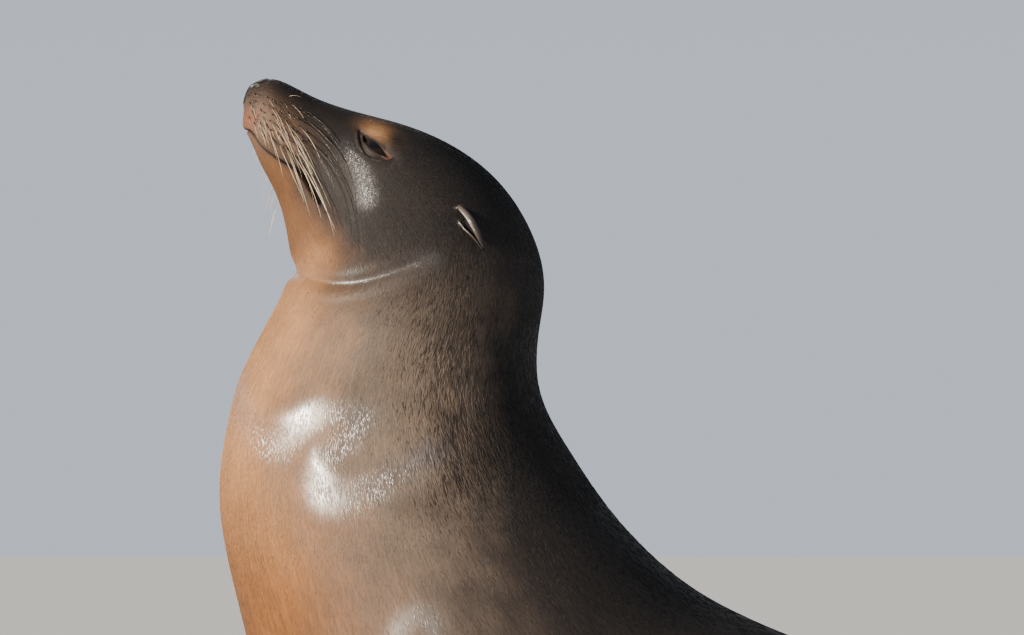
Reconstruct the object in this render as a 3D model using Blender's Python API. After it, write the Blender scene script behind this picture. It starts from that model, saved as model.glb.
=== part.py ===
"""A California sea lion, an adult female sitting up on her foreflippers with her head raised, at life size.

She faces -Y and her left side is +X. The floor is z = 0. The body is one loft through named sections,
parted by thin plane cuts. The limbs, ears, eyes and nails are pieces of their own that meet it.
"""

import math

import bmesh
import bpy
import numpy as np
from mathutils import Vector

MM = 0.001
GAP = 0.3 * MM  # left between two pieces that meet
FLOOR = 0.0
# The sections are drawn from the front of the chest. This puts the middle of the whole length at y = 0.
CHEST_TO_MIDDLE = 0.650

AROUND = 28  # points around the body
TRUNK_SPACING = 42 * MM  # between rings of points along the body
HEAD_SPACING = 12 * MM
TIP_SPACING = 8 * MM

# Each section of the body is a flat slice, in mm: its top point (y, z) along the back, its bottom point
# (y, z) along the throat and belly, its half width, how far above the middle it is widest (-1 to 1), and
# how full its upper and lower halves are (2 is an ellipse, more is squarer).
SECTIONS = {
    "muzzle_tip": ((19, 794), (19, 790), 2, 0.0, 2.0, 2.0),
    "nose_face": ((23, 806), (20, 780), 19, 0.0, 2.2, 2.2),
    "nostrils": ((30, 815), (23, 771), 29, -0.1, 2.0, 2.3),
    "nose_bridge": ((42, 818), (28, 761), 35, -0.15, 1.9, 2.3),
    "whisker_pads": ((60, 812), (34, 748), 40, -0.12, 1.8, 2.3),
    "pads_rear": ((80, 802), (41, 735), 42, -0.06, 1.9, 2.2),
    "mouth_corner": ((124, 788), (51, 710), 51, 0.04, 2.2, 2.0),
    "eyes": ((146, 782), (54, 697), 58, 0.08, 2.35, 2.0),
    "cheeks": ((194, 761), (58, 675), 71, 0.03, 2.3, 2.0),
    "crown": ((217, 744), (60, 669), 76, 0.0, 2.2, 2.0),
    "ears": ((236, 723), (60, 665), 80, 0.0, 2.1, 2.0),
    "nape": ((259, 677), (57, 657), 86, 0.0, 2.0, 2.0),
    "neck_upper": ((260, 621), (37, 621), 90, 0.0, 2.0, 2.0),
    "neck_low": ((260, 568), (10, 556), 102, 0.0, 2.0, 2.0),
    "chest_top": ((282, 523), (0, 480), 121, 0.0, 2.0, 2.0),
    "chest": ((325, 463), (19, 380), 148, 0.0, 2.0, 2.1),
    "shoulders": ((352, 435), (36, 324), 159, 0.0, 2.0, 2.1),
    "armpits": ((418, 390), (114, 226), 169, -0.05, 2.0, 2.1),
    "ribs": ((534, 346), (258, 148), 167, -0.06, 2.0, 2.1),
    "loin": ((694, 294), (478, 78), 155, -0.10, 2.0, 2.2),
    "belly": ((798, 264), (614, 43), 147, -0.12, 2.0, 2.2),
    "flank": ((906, 231), (758, 14), 135, -0.14, 2.0, 2.3),
    "hips": ((1010, 196), (894, -3), 118, -0.14, 2.0, 2.3),
    "rump": ((1098, 159), (1010, -6), 98, -0.12, 2.0, 2.3),
    "seat": ((1170, 121), (1098, 0), 75, -0.08, 2.0, 2.2),
    "tail_root": ((1210, 86), (1168, 6), 46, 0.0, 2.0, 2.0),
    "tail_base": ((1236, 64), (1208, 12), 28, 0.0, 2.0, 2.0),
    "tail_mid": ((1266, 46), (1248, 13), 19, 0.0, 2.0, 2.0),
    "tail_end": ((1290, 34), (1280, 15), 12, 0.0, 2.0, 2.0),
    "tail_tip": ((1300, 27), (1299, 22), 2, 0.0, 2.0, 2.0),
}
# The body is parted at these sections, from the front.
BODY_PIECES = {
    "head": ("muzzle_tip", "nape"),
    "neck": ("nape", "chest_top"),
    "chest": ("chest_top", "armpits"),
    "ribcage": ("armpits", "loin"),
    "abdomen": ("loin", "flank"),
    "rump": ("flank", "tail_root"),
    "tail": ("tail_root", "tail_tip"),
}

# The nose pad, cut from the tip of the muzzle by a ball.
NOSE_CENTRE = (0.0, 25 * MM, 813 * MM)
NOSE_RADIUS = 17 * MM
# The lower jaw's side outline, (y, z) in mm: along the mouth to its corner, then back under the throat.
MOUTH_LINE = ((0, 778), (26, 774), (34, 762), (49, 748), (65, 739), (75, 728), (84, 714))
JAW_REAR = ((80, 700), (60, 686), (30, 680), (0, 690))

EYE_RADIUS = 16.5 * MM
EYE_CENTRE = (40 * MM, 129 * MM, 751 * MM)
EYE_LOOK = (0.86, -0.16, 0.48)  # square to the side of the raised head, and a little forwards
EYE_OPENING = (30 * MM, 10 * MM)  # length and height between the lids
EYE_TILT = math.radians(-41)  # the opening falls towards the back of the head

EAR_ROOT = (65 * MM, 187 * MM, 718 * MM)
EAR_TIP = (83 * MM, 212.5 * MM, 679 * MM)
EAR_WIDTH = 13 * MM
EAR_THICKNESS = 8 * MM

# A limb is a row of stations, in mm, from inside the body to the tip: centre (x, y, z), the direction
# of its leading edge (x, y), half width ahead of the centre and behind it, and thickness.
FOREFLIPPER = {
    "shoulder": ((104, 215, 318), (0.05, -1.0), 90, 108, 104),
    "elbow": ((136, 192, 224), (0.12, -1.0), 80, 92, 98),
    "forearm": ((150, 172, 142), (0.22, -1.0), 66, 76, 74),
    "wrist": ((162, 160, 70), (0.35, -0.95), 60, 67, 52),
    "heel": ((180, 166, 27), (0.48, -0.88), 62, 68, 40),
    "palm": ((218, 186, 13), (0.56, -0.83), 64, 74, 28),
    "blade": ((285, 234, 8), (0.60, -0.80), 58, 72, 20),
    "fingers": ((345, 286, 5.5), (0.66, -0.75), 45, 57, 13),
    "tip": ((404, 346, 3.5), (0.74, -0.67), 18, 24, 8),
}
HINDFLIPPER = {
    "ankle_root": ((30, 1118, 64), (-0.15, -1.0), 44, 48, 80),
    "ankle": ((80, 1138, 48), (-0.20, -1.0), 42, 46, 64),
    "heel": ((124, 1128, 27), (-0.45, -0.9), 46, 50, 46),
    "sole": ((178, 1094, 12), (-0.60, -0.8), 60, 62, 29),
    "toes": ((240, 1046, 6), (-0.60, -0.8), 76, 76, 17),
    "toe_ends": ((318, 988, 2.5), (-0.60, -0.8), 84, 84, 7),
}
DIGITS = 5
FORE_MESH = (10, 18)  # points across each face, and rings along it
HIND_MESH = (3 * DIGITS, 13)
SCALLOP = 0.05  # how far the foreflipper's trailing edge waves between the fingers
NAIL_DIGITS = (1, 2, 3)  # of the hind flipper, counted from 0 at its inner edge
NAIL_LENGTH = 17 * MM
NAIL_WIDTH = 6.5 * MM
NAIL_THICKNESS = 7 * MM
NAIL_PLACE = 0.66  # of the way from the ankle to the toe ends

FUR = (0.135, 0.082, 0.052)
SKIN = (0.022, 0.018, 0.016)


def material(name, colour, roughness):
    made = bpy.data.materials.new(name)
    made.use_nodes = True
    shader = made.node_tree.nodes["Principled BSDF"]
    shader.inputs["Base Color"].default_value = (*colour, 1)
    shader.inputs["Roughness"].default_value = roughness
    return made


def spline(knots, values):
    """A natural cubic spline through values at knots, as a function of the distance along."""
    knots = np.asarray(knots, float)
    values = np.asarray(values, float)
    step = np.diff(knots)
    slope = np.diff(values, axis=0) / step[:, None]
    count = len(knots)
    matrix = np.eye(count)
    right = np.zeros((count, values.shape[1]))
    for i in range(1, count - 1):
        matrix[i, i - 1 : i + 2] = step[i - 1], 2 * (step[i - 1] + step[i]), step[i]
        right[i] = 6 * (slope[i] - slope[i - 1])
    bend = np.linalg.solve(matrix, right)

    def at(distance):
        distance = np.atleast_1d(distance)
        i = np.clip(np.searchsorted(knots, distance, "right") - 1, 0, count - 2)
        h = step[i][:, None]
        a = (knots[i + 1] - distance)[:, None] / h
        b = 1 - a
        cubic = ((a**3 - a) * bend[i] + (b**3 - b) * bend[i + 1]) * h * h / 6
        return a * values[i] + b * values[i + 1] + cubic

    return at


def body_curves():
    """The distance along the body of each section, and the spline of their measures in metres."""
    rows = []
    for top, bottom, half, widest, upper, lower in SECTIONS.values():
        rows.append((*(MM * np.array([*top, *bottom, half])), widest, upper, lower))
    rows = np.array(rows)
    middle = (rows[:, 0:2] + rows[:, 2:4]) / 2
    along = np.concatenate([[0], np.cumsum(np.linalg.norm(np.diff(middle, axis=0), axis=1))])
    return dict(zip(SECTIONS, along)), spline(along, rows)


PLACE, MEASURES = body_curves()


def body_ring(distance, grow=0.0, count=AROUND):
    """The points of the section at this distance from the muzzle, from the back round by the left side."""
    top_y, top_z, bottom_y, bottom_z, half, widest, upper, lower = MEASURES(distance)[0]
    height = math.hypot(top_y - bottom_y, top_z - bottom_z) / 2
    rise = np.array([top_y - bottom_y, top_z - bottom_z]) / (2 * height)
    middle = np.array([top_y + bottom_y, top_z + bottom_z]) / 2
    turn = np.arange(count) * 2 * math.pi / count
    fullness = np.where(np.cos(turn) > 0, upper, lower)
    across = np.sign(np.sin(turn)) * np.abs(np.sin(turn)) ** (2 / fullness) * (half + grow)
    up = np.abs(np.cos(turn)) ** (2 / fullness)
    up = np.where(np.cos(turn) > 0, widest + (1 - widest) * up, widest - (1 + widest) * up)
    up = up * (height + grow)
    ring = np.stack([across, middle[0] + rise[0] * up, middle[1] + rise[1] * up], axis=1)
    normal = Vector((0, rise[1], -rise[0]))  # points towards the tail
    return [Vector(point) for point in ring], normal


def above_floor(point):
    """What would sink into the floor is pressed flat on it."""
    return Vector((point.x, point.y, max(point.z, FLOOR)))


def placed(point):
    """From the sections' frame, at the front of the chest, to the model's own, on the floor."""
    return Vector((point[0], point[1] - CHEST_TO_MIDDLE, point[2]))


def new_object(name, bm, slot, collection):
    mesh = bpy.data.meshes.new(name)
    bm.to_mesh(mesh)
    bm.free()
    mesh.shade_smooth()
    mesh.set_sharp_from_angle(angle=math.radians(50))
    made = bpy.data.objects.new(name, mesh)
    made.data.materials.append(slot)
    collection.objects.link(made)
    if collection is CUTTERS:
        made.hide_render = True
        made.display_type = "WIRE"
    return made


def loft(rings, zip_end=False):
    """A closed skin through rings of equal count. The last ring is capped flat, or zipped up face to face."""
    bm = bmesh.new()
    rows = [[bm.verts.new(placed(point)) for point in ring] for ring in rings]
    count = len(rows[0])
    for near, far in zip(rows, rows[1:]):
        for i in range(count):
            j = (i + 1) % count
            bm.faces.new((near[i], near[j], far[j], far[i]))
    bm.faces.new(rows[0])
    last = rows[-1]
    edge = count // 2
    if zip_end:
        for i in range(1, edge - 1):
            bm.faces.new((last[i], last[i + 1], last[count - i - 1], last[count - i]))
        bm.faces.new((last[0], last[1], last[count - 1]))
        bm.faces.new((last[edge - 1], last[edge], last[edge + 1]))
    else:
        bm.faces.new(last)
    bmesh.ops.recalc_face_normals(bm, faces=bm.faces)
    return bm


def ring_places(first, last):
    """The distances of a body piece's rings: close together on the head and towards both ends."""
    places = [PLACE[first]]
    while places[-1] < PLACE[last]:
        from_end = min(places[-1], PLACE["tail_tip"] - places[-1])
        spacing = HEAD_SPACING if places[-1] < PLACE["neck_upper"] else TRUNK_SPACING
        places.append(places[-1] + (TIP_SPACING if from_end < 5 * TIP_SPACING else spacing))
    return PLACE[first] + (np.array(places) - PLACE[first]) * (PLACE[last] - PLACE[first]) / (
        places[-1] - PLACE[first]
    )


def body_piece(first, last):
    """The body between two named sections. Its cut ends stand back by half the gap."""
    rings = []
    places = ring_places(first, last)
    for place in places:
        ring, normal = body_ring(place)
        back = 0.0
        if place == places[0] and first != "muzzle_tip":
            back = GAP / 2
        if place == places[-1] and last != "tail_tip":
            back = -GAP / 2
        rings.append([above_floor(point + normal * back) for point in ring])
    return loft(rings)


def body_outline():
    """The whole body, larger by the gap all round, to cut the limbs and ears that grow from it."""
    places = np.unique(np.concatenate([ring_places(*ends) for ends in BODY_PIECES.values()]))
    return loft([body_ring(place, GAP)[0] for place in places])


def cut(target, cutter, operation="DIFFERENCE"):
    made = target.modifiers.new(cutter.name, "BOOLEAN")
    made.operation = operation
    made.object = cutter
    made.solver = "EXACT"


def mirrored(point, side):
    return Vector((point[0] * side, point[1], point[2]))


def ball(name, centre, radius, slot, collection):
    bm = bmesh.new()
    bmesh.ops.create_uvsphere(bm, u_segments=14, v_segments=9, radius=radius)
    bmesh.ops.translate(bm, verts=bm.verts, vec=placed(centre))
    return new_object(name, bm, slot, collection)


def prism(name, outline, half_width, slot, collection):
    """A flat side outline of (y, z) points, made solid from -half_width to +half_width across the body."""
    curve = bpy.data.curves.new(name, "CURVE")
    curve.dimensions = "2D"
    curve.fill_mode = "BOTH"
    curve.extrude = half_width
    strip = curve.splines.new("POLY")
    strip.points.add(len(outline) - 1)
    for point, (y, z) in zip(strip.points, outline):
        point.co = (y - CHEST_TO_MIDDLE, z, 0, 1)
    strip.use_cyclic_u = True
    guide = bpy.data.objects.new(name + "_outline", curve)
    guide.rotation_euler = (math.pi / 2, 0, math.pi / 2)
    collection.objects.link(guide)
    bpy.context.view_layer.update()
    graph = bpy.context.evaluated_depsgraph_get()
    mesh = bpy.data.meshes.new_from_object(guide.evaluated_get(graph))
    bm = bmesh.new()
    bm.from_mesh(mesh)
    bmesh.ops.transform(bm, matrix=guide.matrix_world, verts=bm.verts)
    bmesh.ops.remove_doubles(bm, verts=bm.verts, dist=0.01 * MM)
    bmesh.ops.recalc_face_normals(bm, faces=bm.faces)
    bpy.data.objects.remove(guide)
    bpy.data.meshes.remove(mesh)
    return new_object(name, bm, slot, collection)


def jaw_outline(shrink):
    """The side outline of the lower jaw, drawn in by shrink along the mouth and the throat."""
    line = [Vector((y, z)) * MM for y, z in MOUTH_LINE + JAW_REAR]
    inside = Vector((35, 720)) * MM
    return [tuple(point + (inside - point).normalized() * shrink) for point in line]


def make_head(cutters):
    head = new_object("head", body_piece(*BODY_PIECES["head"]), FUR_SLOT, SEA_LION)
    jaw = new_object("lower_jaw", body_piece(*BODY_PIECES["head"]), FUR_SLOT, SEA_LION)
    nose = new_object("nose", body_piece(*BODY_PIECES["head"]), SKIN_SLOT, SEA_LION)
    nose_ball = ball("nose_ball", NOSE_CENTRE, NOSE_RADIUS, SKIN_SLOT, cutters)
    nose_socket = ball("nose_socket", NOSE_CENTRE, NOSE_RADIUS + GAP, SKIN_SLOT, cutters)
    jaw_room = prism("jaw_room", jaw_outline(0), 70 * MM, FUR_SLOT, cutters)
    jaw_shape = prism("jaw_shape", jaw_outline(1.2 * GAP), 70 * MM, FUR_SLOT, cutters)
    cut(nose, nose_ball, "INTERSECT")
    cut(head, nose_socket)
    cut(head, jaw_room)
    cut(jaw, jaw_shape, "INTERSECT")
    cut(jaw, nose_socket)
    return head


def make_eye(side, name, head, cutters):
    """An eyeball in a socket that opens between the lids by a narrow leaf-shaped slit."""
    centre = mirrored(EYE_CENTRE, side)
    ball(f"eye_{name}", centre, EYE_RADIUS, EYE_SLOT, SEA_LION)
    socket = ball(f"eye_socket_{name}", centre, EYE_RADIUS + GAP, EYE_SLOT, cutters)
    cut(head, socket)
    bm = bmesh.new()
    bmesh.ops.create_cone(bm, cap_ends=True, segments=16, radius1=1, radius2=1, depth=1)
    look = mirrored(EYE_LOOK, side).normalized()
    along = Vector((0, math.cos(EYE_TILT), math.sin(EYE_TILT)))
    along = (along - look * along.dot(look)).normalized()
    up = look.cross(along)
    length, height = EYE_OPENING
    for vert in bm.verts:
        narrow = 1 - 0.75 * vert.co.x**2  # the slit comes to a point at both ends
        x = vert.co.x * length / 2
        y = vert.co.y * narrow * height / 2
        z = (vert.co.z + 0.5) * 2 * EYE_RADIUS
        vert.co = placed(centre + along * x + up * y + look * z)
    cut(head, new_object(f"eye_slit_{name}", bm, EYE_SLOT, cutters))


def make_ear(side, name, body_cutter):
    """A small rolled ear: a flattened cone that points down and back, hollow along its lower side."""
    root = mirrored(EAR_ROOT, side)
    tip = mirrored(EAR_TIP, side)
    along = (tip - root).normalized()
    out = Vector((side, 0, 0))
    out = (out - along * out.dot(along)).normalized()
    across = along.cross(out)
    rings = []
    for i in range(8):
        t = i / 7
        swell = math.sin(math.pi * (0.28 + 0.68 * t)) ** 0.8
        centre = root.lerp(tip, t) + out * 3 * MM * math.sin(math.pi * t)
        ring = []
        for k in range(10):
            turn = k * math.pi / 5
            roll = 1 - 0.45 * max(0, math.cos(turn)) ** 2 * math.sin(math.pi * min(1, t * 1.1))
            wide = across * math.cos(turn) * roll * EAR_WIDTH / 2 * swell
            ring.append(centre + wide + out * math.sin(turn) * EAR_THICKNESS / 2 * swell)
        rings.append(ring)
    cut(new_object(f"ear_{name}", loft(rings), FUR_SLOT, SEA_LION), body_cutter)


def limb_curves(stations):
    """The spline of a limb's measures in metres, from 0 at its root to 1 at its tip."""
    rows = []
    for centre, lead, ahead, behind, thick in stations.values():
        rows.append((*(MM * np.array([*centre, ahead, behind, thick])), *lead))
    rows = np.array(rows)
    along = np.concatenate([[0], np.cumsum(np.linalg.norm(np.diff(rows[:, 0:3], axis=0), axis=1))])
    return spline(along / along[-1], rows)


def fore_shape(t, across):
    """The foreflipper's length and width here, as shares: its trailing edge waves between the fingers."""
    wave = SCALLOP * abs(math.sin(math.pi * DIGITS * t)) if across < 0 and t > 0.4 else 0.0
    return 1.0, 1 - wave


def hind_shape(t, across):
    """The hind flipper's length and width here: it ends in five flaps, longest at both edges."""
    digit = (across + 1) / 2 * DIGITS
    flap = abs(math.sin(math.pi * digit)) ** 0.6
    free = max(0.0, (t - 0.45) / 0.55)
    return 1 - free * (0.22 - 0.10 * across**2 - 0.12 * flap), 1.0


def limb_point(curves, t, across, face, side, shape, grow=0.0):
    """A point on a flipper: t is along it, across runs from trailing (-1) to leading edge (1), and face is
    1 above and -1 below."""
    length, breadth = shape(t, across)
    x, y, z, ahead, behind, thick, lead_x, lead_y = curves(t * length)[0]
    step = curves(min(1, t + 0.01))[0][0:3] - curves(max(0, t - 0.01))[0][0:3]
    along = Vector(step).normalized()
    lead = Vector((lead_x, lead_y, 0))
    lead = (lead - along * lead.dot(along)).normalized()
    up = lead.cross(along)
    if up.x < 0 or up.z < 0:
        up.negate()
    width = (ahead if across > 0 else behind) * breadth
    edge = max(0.0, 1 - abs(across) ** 2.2) ** 0.5
    lean = 0.62 + 0.38 * (across + 1) / 2  # thin towards the trailing edge
    end = max(0.25, (1 - t**8) ** 0.5)
    height = face * (thick / 2 * edge * lean * end + grow)
    point = Vector((x, y, z)) + lead * across * (width + grow) + up * height
    return Vector((point.x * side, point.y, point.z))


def limb_skin(stations, side, shape, mesh, grow=0.0):
    """A flipper's closed skin. Its points are even across the tip, and closer at the edges of the root."""
    curves = limb_curves(stations)
    count, steps = mesh
    rings = []
    for i in range(steps + 1):
        ring = []
        t = i / steps
        for k in range(2 * count):
            even = 1 - 2 * min(k, 2 * count - k) / count
            across = math.cos(k * math.pi / count) * (1 - t) + even * t
            face = 1 if k <= count else -1
            ring.append(above_floor(limb_point(curves, t, across, face, side, shape, grow)))
        rings.append(ring)
    return loft(rings, zip_end=True)


def make_nail(name, digit, side, flipper_cutter):
    """A narrow nail that lies on the upper face of the hind flipper, well short of the flap's end."""
    curves = limb_curves(HINDFLIPPER)
    across = (digit + 0.5) / DIGITS * 2 - 1
    seat = limb_point(curves, NAIL_PLACE, across, 1, side, hind_shape)
    ahead = limb_point(curves, NAIL_PLACE + 0.06, across, 1, side, hind_shape)
    along = (ahead - seat).normalized()
    sideways = along.cross(Vector((0, 0, 1))).normalized()
    up = sideways.cross(along)
    bm = bmesh.new()
    bmesh.ops.create_uvsphere(bm, u_segments=10, v_segments=7, radius=0.5)
    for vert in bm.verts:
        taper = 1 - 0.5 * vert.co.z  # narrower towards the free end
        offset = along * vert.co.z * NAIL_LENGTH
        offset += sideways * vert.co.x * NAIL_WIDTH * taper
        offset += up * vert.co.y * NAIL_THICKNESS
        vert.co = placed(seat + offset)
    bmesh.ops.recalc_face_normals(bm, faces=bm.faces)
    nail = new_object(name, bm, NAIL_SLOT, SEA_LION)
    cut(nail, flipper_cutter)


def collection_named(name):
    made = bpy.data.collections.new(name)
    bpy.context.scene.collection.children.link(made)
    return made


for leftover in list(bpy.data.objects):
    bpy.data.objects.remove(leftover, do_unlink=True)
SEA_LION = collection_named("sea_lion")
CUTTERS = collection_named("cutters")
CUTTERS.hide_render = True
FUR_SLOT = material("fur", FUR, 0.45)
SKIN_SLOT = material("bare_skin", SKIN, 0.5)
EYE_SLOT = material("eye", (0.01, 0.008, 0.006), 0.05)
NAIL_SLOT = material("nail", (0.03, 0.025, 0.02), 0.35)

body = new_object("body_outline", body_outline(), FUR_SLOT, CUTTERS)
head = make_head(CUTTERS)
for piece in list(BODY_PIECES)[1:]:
    new_object(piece, body_piece(*BODY_PIECES[piece]), FUR_SLOT, SEA_LION)
for side, name in ((1, "left"), (-1, "right")):
    make_eye(side, name, head, CUTTERS)
    make_ear(side, name, body)
    fore = limb_skin(FOREFLIPPER, side, fore_shape, FORE_MESH)
    cut(new_object(f"foreflipper_{name}", fore, FUR_SLOT, SEA_LION), body)
    hind = limb_skin(HINDFLIPPER, side, hind_shape, HIND_MESH)
    cut(new_object(f"hindflipper_{name}", hind, FUR_SLOT, SEA_LION), body)
    room = limb_skin(HINDFLIPPER, side, hind_shape, HIND_MESH, GAP)
    nail_room = new_object(f"nail_room_{name}", room, SKIN_SLOT, CUTTERS)
    for digit in NAIL_DIGITS:
        make_nail(f"nail_{name}_{digit}", digit, side, nail_room)
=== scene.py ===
"""A California sea lion, sitting up with her head raised: her skin, coat, eyes, whiskers and nails."""

import math

import bpy
import numpy as np
from mathutils import Matrix, Vector
from mathutils.bvhtree import BVHTree
from mathutils.kdtree import KDTree


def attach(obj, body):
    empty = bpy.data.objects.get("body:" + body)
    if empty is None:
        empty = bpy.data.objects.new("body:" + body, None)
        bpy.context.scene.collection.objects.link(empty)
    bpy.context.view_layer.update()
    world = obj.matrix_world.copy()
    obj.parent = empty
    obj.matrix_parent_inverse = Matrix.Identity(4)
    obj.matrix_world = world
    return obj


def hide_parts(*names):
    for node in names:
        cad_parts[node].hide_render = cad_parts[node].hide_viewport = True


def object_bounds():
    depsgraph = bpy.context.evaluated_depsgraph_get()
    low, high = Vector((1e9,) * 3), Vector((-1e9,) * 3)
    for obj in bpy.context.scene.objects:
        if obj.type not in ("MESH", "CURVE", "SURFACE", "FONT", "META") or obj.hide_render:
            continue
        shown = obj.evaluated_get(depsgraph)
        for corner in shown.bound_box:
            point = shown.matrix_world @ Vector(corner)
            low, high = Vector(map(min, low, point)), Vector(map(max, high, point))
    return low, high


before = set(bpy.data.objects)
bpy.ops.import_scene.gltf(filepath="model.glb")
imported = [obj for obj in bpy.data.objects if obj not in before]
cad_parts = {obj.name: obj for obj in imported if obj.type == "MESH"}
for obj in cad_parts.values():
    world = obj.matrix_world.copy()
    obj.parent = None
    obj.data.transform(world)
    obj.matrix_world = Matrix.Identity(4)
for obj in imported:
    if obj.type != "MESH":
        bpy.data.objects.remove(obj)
cad_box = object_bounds()
MM = 0.001
rng = np.random.default_rng(7)


# ---- Stage: a pale floor, soft light, and the camera level with her chest -------------------------------
# She is seen square from her left. The lens is long and far off, so her outline is nearly a flat drawing.
CHEST_FRONT = cad_box[0].y
CAMERA_DISTANCE = 6.0
CAMERA_HEIGHT = 0.478
AIM = Vector((0, CHEST_FRONT + 0.2356, 0.626))
VIEW_WIDTH = 0.8192
FLOOR_WIDTH = 120
SUN_WAY = Vector((-0.577, 0.760, -0.296))
SUN_POWER, SUN_SPREAD = 7.4, math.radians(6)

for leftover in list(bpy.context.selected_objects):
    leftover.select_set(False)

bpy.ops.mesh.primitive_plane_add(size=FLOOR_WIDTH, location=(0, 0, 0))
floor = bpy.context.object
floor.name = "floor"
floor_finish = bpy.data.materials.new("studio_floor")
floor_finish.use_nodes = True
nodes, links = floor_finish.node_tree.nodes, floor_finish.node_tree.links
floor_shader = nodes["Principled BSDF"]
floor_shader.inputs["Roughness"].default_value = 0.75
floor_grain = nodes.new("ShaderNodeTexNoise")
floor_grain.inputs["Scale"].default_value = 1.2
floor_tones = nodes.new("ShaderNodeValToRGB")
floor_tones.color_ramp.elements[0].color = (0.80, 0.80, 0.80, 1)
floor_tones.color_ramp.elements[1].color = (0.85, 0.85, 0.85, 1)
links.new(floor_grain.outputs["Fac"], floor_tones.inputs["Fac"])
links.new(floor_tones.outputs["Color"], floor_shader.inputs["Base Color"])
floor.data.materials.append(floor_finish)


def brought_in(name, data):
    """A new object in the scene, made of this mesh, lamp or camera."""
    made = bpy.data.objects.new(name, data)
    bpy.context.scene.collection.objects.link(made)
    return made


def aimed(way):
    """The turn that points a lamp or the camera this way."""
    return way.to_track_quat("-Z", "Y").to_euler()


camera = brought_in("camera", bpy.data.cameras.new("camera"))
bpy.context.scene.camera = camera
camera.location = (CAMERA_DISTANCE, AIM.y, CAMERA_HEIGHT)
sight = AIM - camera.location
camera.rotation_euler = aimed(sight)
camera.data.lens = camera.data.sensor_width * sight.length / VIEW_WIDTH


def soft_light(name, place, target, size, power, colour):
    """A square studio light, aimed at a point on her."""
    lamp = bpy.data.lights.new(name, "AREA")
    lamp.shape = "SQUARE"
    lamp.size = size
    lamp.energy = power
    lamp.color = colour
    light = brought_in(name, lamp)
    light.location = place
    light.rotation_euler = aimed(Vector(target) - Vector(place))
    light.visible_camera = False


sun = bpy.data.lights.new("key", "SUN")
sun.energy = SUN_POWER
sun.angle = SUN_SPREAD
sun.color = (1.0, 0.89, 0.75)
key = brought_in("key", sun)
key.location = (2.05, -3.15, 1.55)
key.rotation_euler = aimed(SUN_WAY)
soft_light("fill", (3.2, 1.2, 1.6), (0, 0, 0.4), 2.4, 9, (0.88, 0.94, 1.0))
soft_light("back", (-2.8, -0.9, 1.9), (0, 0, 0.5), 1.8, 28, (1.0, 0.97, 0.93))
world = bpy.data.worlds.new("studio")
bpy.context.scene.world = world
world.use_nodes = True
nodes, links = world.node_tree.nodes, world.node_tree.links
direction = nodes.new("ShaderNodeTexCoord")
height = nodes.new("ShaderNodeSeparateXYZ")
links.new(direction.outputs["Generated"], height.inputs["Vector"])
room = nodes.new("ShaderNodeValToRGB")
room.color_ramp.elements[0].color = (0.60, 0.66, 0.75, 1)
room.color_ramp.elements[0].position = 0.06
room.color_ramp.elements[1].color = (0.17, 0.19, 0.22, 1)
room.color_ramp.elements[1].position = 0.42
links.new(height.outputs["Z"], room.inputs["Fac"])
links.new(room.outputs["Color"], nodes["Background"].inputs["Color"])

# ---- Skin of the body -----------------------------------------------------------------------------------
# One hide from the muzzle to the tail, over fat and muscle. It is shaped through named slices of the body,
# then drawn in by the depth of the coat, which is least on the face.
# Each slice, in mm: top point (y, z) along the back, bottom point (y, z) along the throat and belly, half
# width, how far above the middle it is widest, and how full its upper and lower halves are.
SECTIONS = {
    "muzzle_tip": ((19, 794), (19, 790), 2, 0.0, 2.0, 2.0),
    "nose_face": ((23, 806), (20, 780), 19, 0.0, 2.2, 2.2),
    "nostrils": ((30, 815), (23, 771), 29, -0.1, 2.0, 2.3),
    "nose_bridge": ((42, 818), (28, 761), 35, -0.15, 1.9, 2.3),
    "whisker_pads": ((60, 812), (34, 748), 40, -0.12, 1.8, 2.3),
    "pads_rear": ((80, 802), (41, 735), 42, -0.06, 1.9, 2.2),
    "mouth_corner": ((124, 788), (51, 710), 51, 0.04, 2.2, 2.0),
    "eyes": ((146, 782), (54, 697), 58, 0.08, 2.35, 2.0),
    "cheeks": ((194, 761), (58, 675), 71, 0.03, 2.3, 2.0),
    "crown": ((217, 744), (60, 669), 76, 0.0, 2.2, 2.0),
    "ears": ((236, 723), (60, 665), 80, 0.0, 2.1, 2.0),
    "nape": ((259, 677), (57, 657), 86, 0.0, 2.0, 2.0),
    "neck_upper": ((260, 621), (37, 621), 90, 0.0, 2.0, 2.0),
    "neck_low": ((260, 568), (10, 556), 102, 0.0, 2.0, 2.0),
    "chest_top": ((282, 523), (0, 480), 121, 0.0, 2.0, 2.0),
    "chest": ((325, 463), (19, 380), 148, 0.0, 2.0, 2.1),
    "shoulders": ((352, 435), (36, 324), 159, 0.0, 2.0, 2.1),
    "armpits": ((418, 390), (114, 226), 169, -0.05, 2.0, 2.1),
    "ribs": ((534, 346), (258, 148), 167, -0.06, 2.0, 2.1),
    "loin": ((694, 294), (478, 78), 155, -0.10, 2.0, 2.2),
    "belly": ((798, 264), (614, 43), 147, -0.12, 2.0, 2.2),
    "flank": ((906, 231), (758, 14), 135, -0.14, 2.0, 2.3),
    "hips": ((1010, 196), (894, -3), 118, -0.14, 2.0, 2.3),
    "rump": ((1098, 159), (1010, -6), 98, -0.12, 2.0, 2.3),
    "seat": ((1170, 121), (1098, 0), 75, -0.08, 2.0, 2.2),
    "tail_root": ((1210, 86), (1168, 6), 46, 0.0, 2.0, 2.0),
    "tail_base": ((1236, 64), (1208, 12), 28, 0.0, 2.0, 2.0),
    "tail_mid": ((1266, 46), (1248, 13), 19, 0.0, 2.0, 2.0),
    "tail_end": ((1290, 34), (1280, 15), 12, 0.0, 2.0, 2.0),
    "tail_tip": ((1300, 27), (1299, 22), 2, 0.0, 2.0, 2.0),
}
BODY_AROUND = 152
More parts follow.
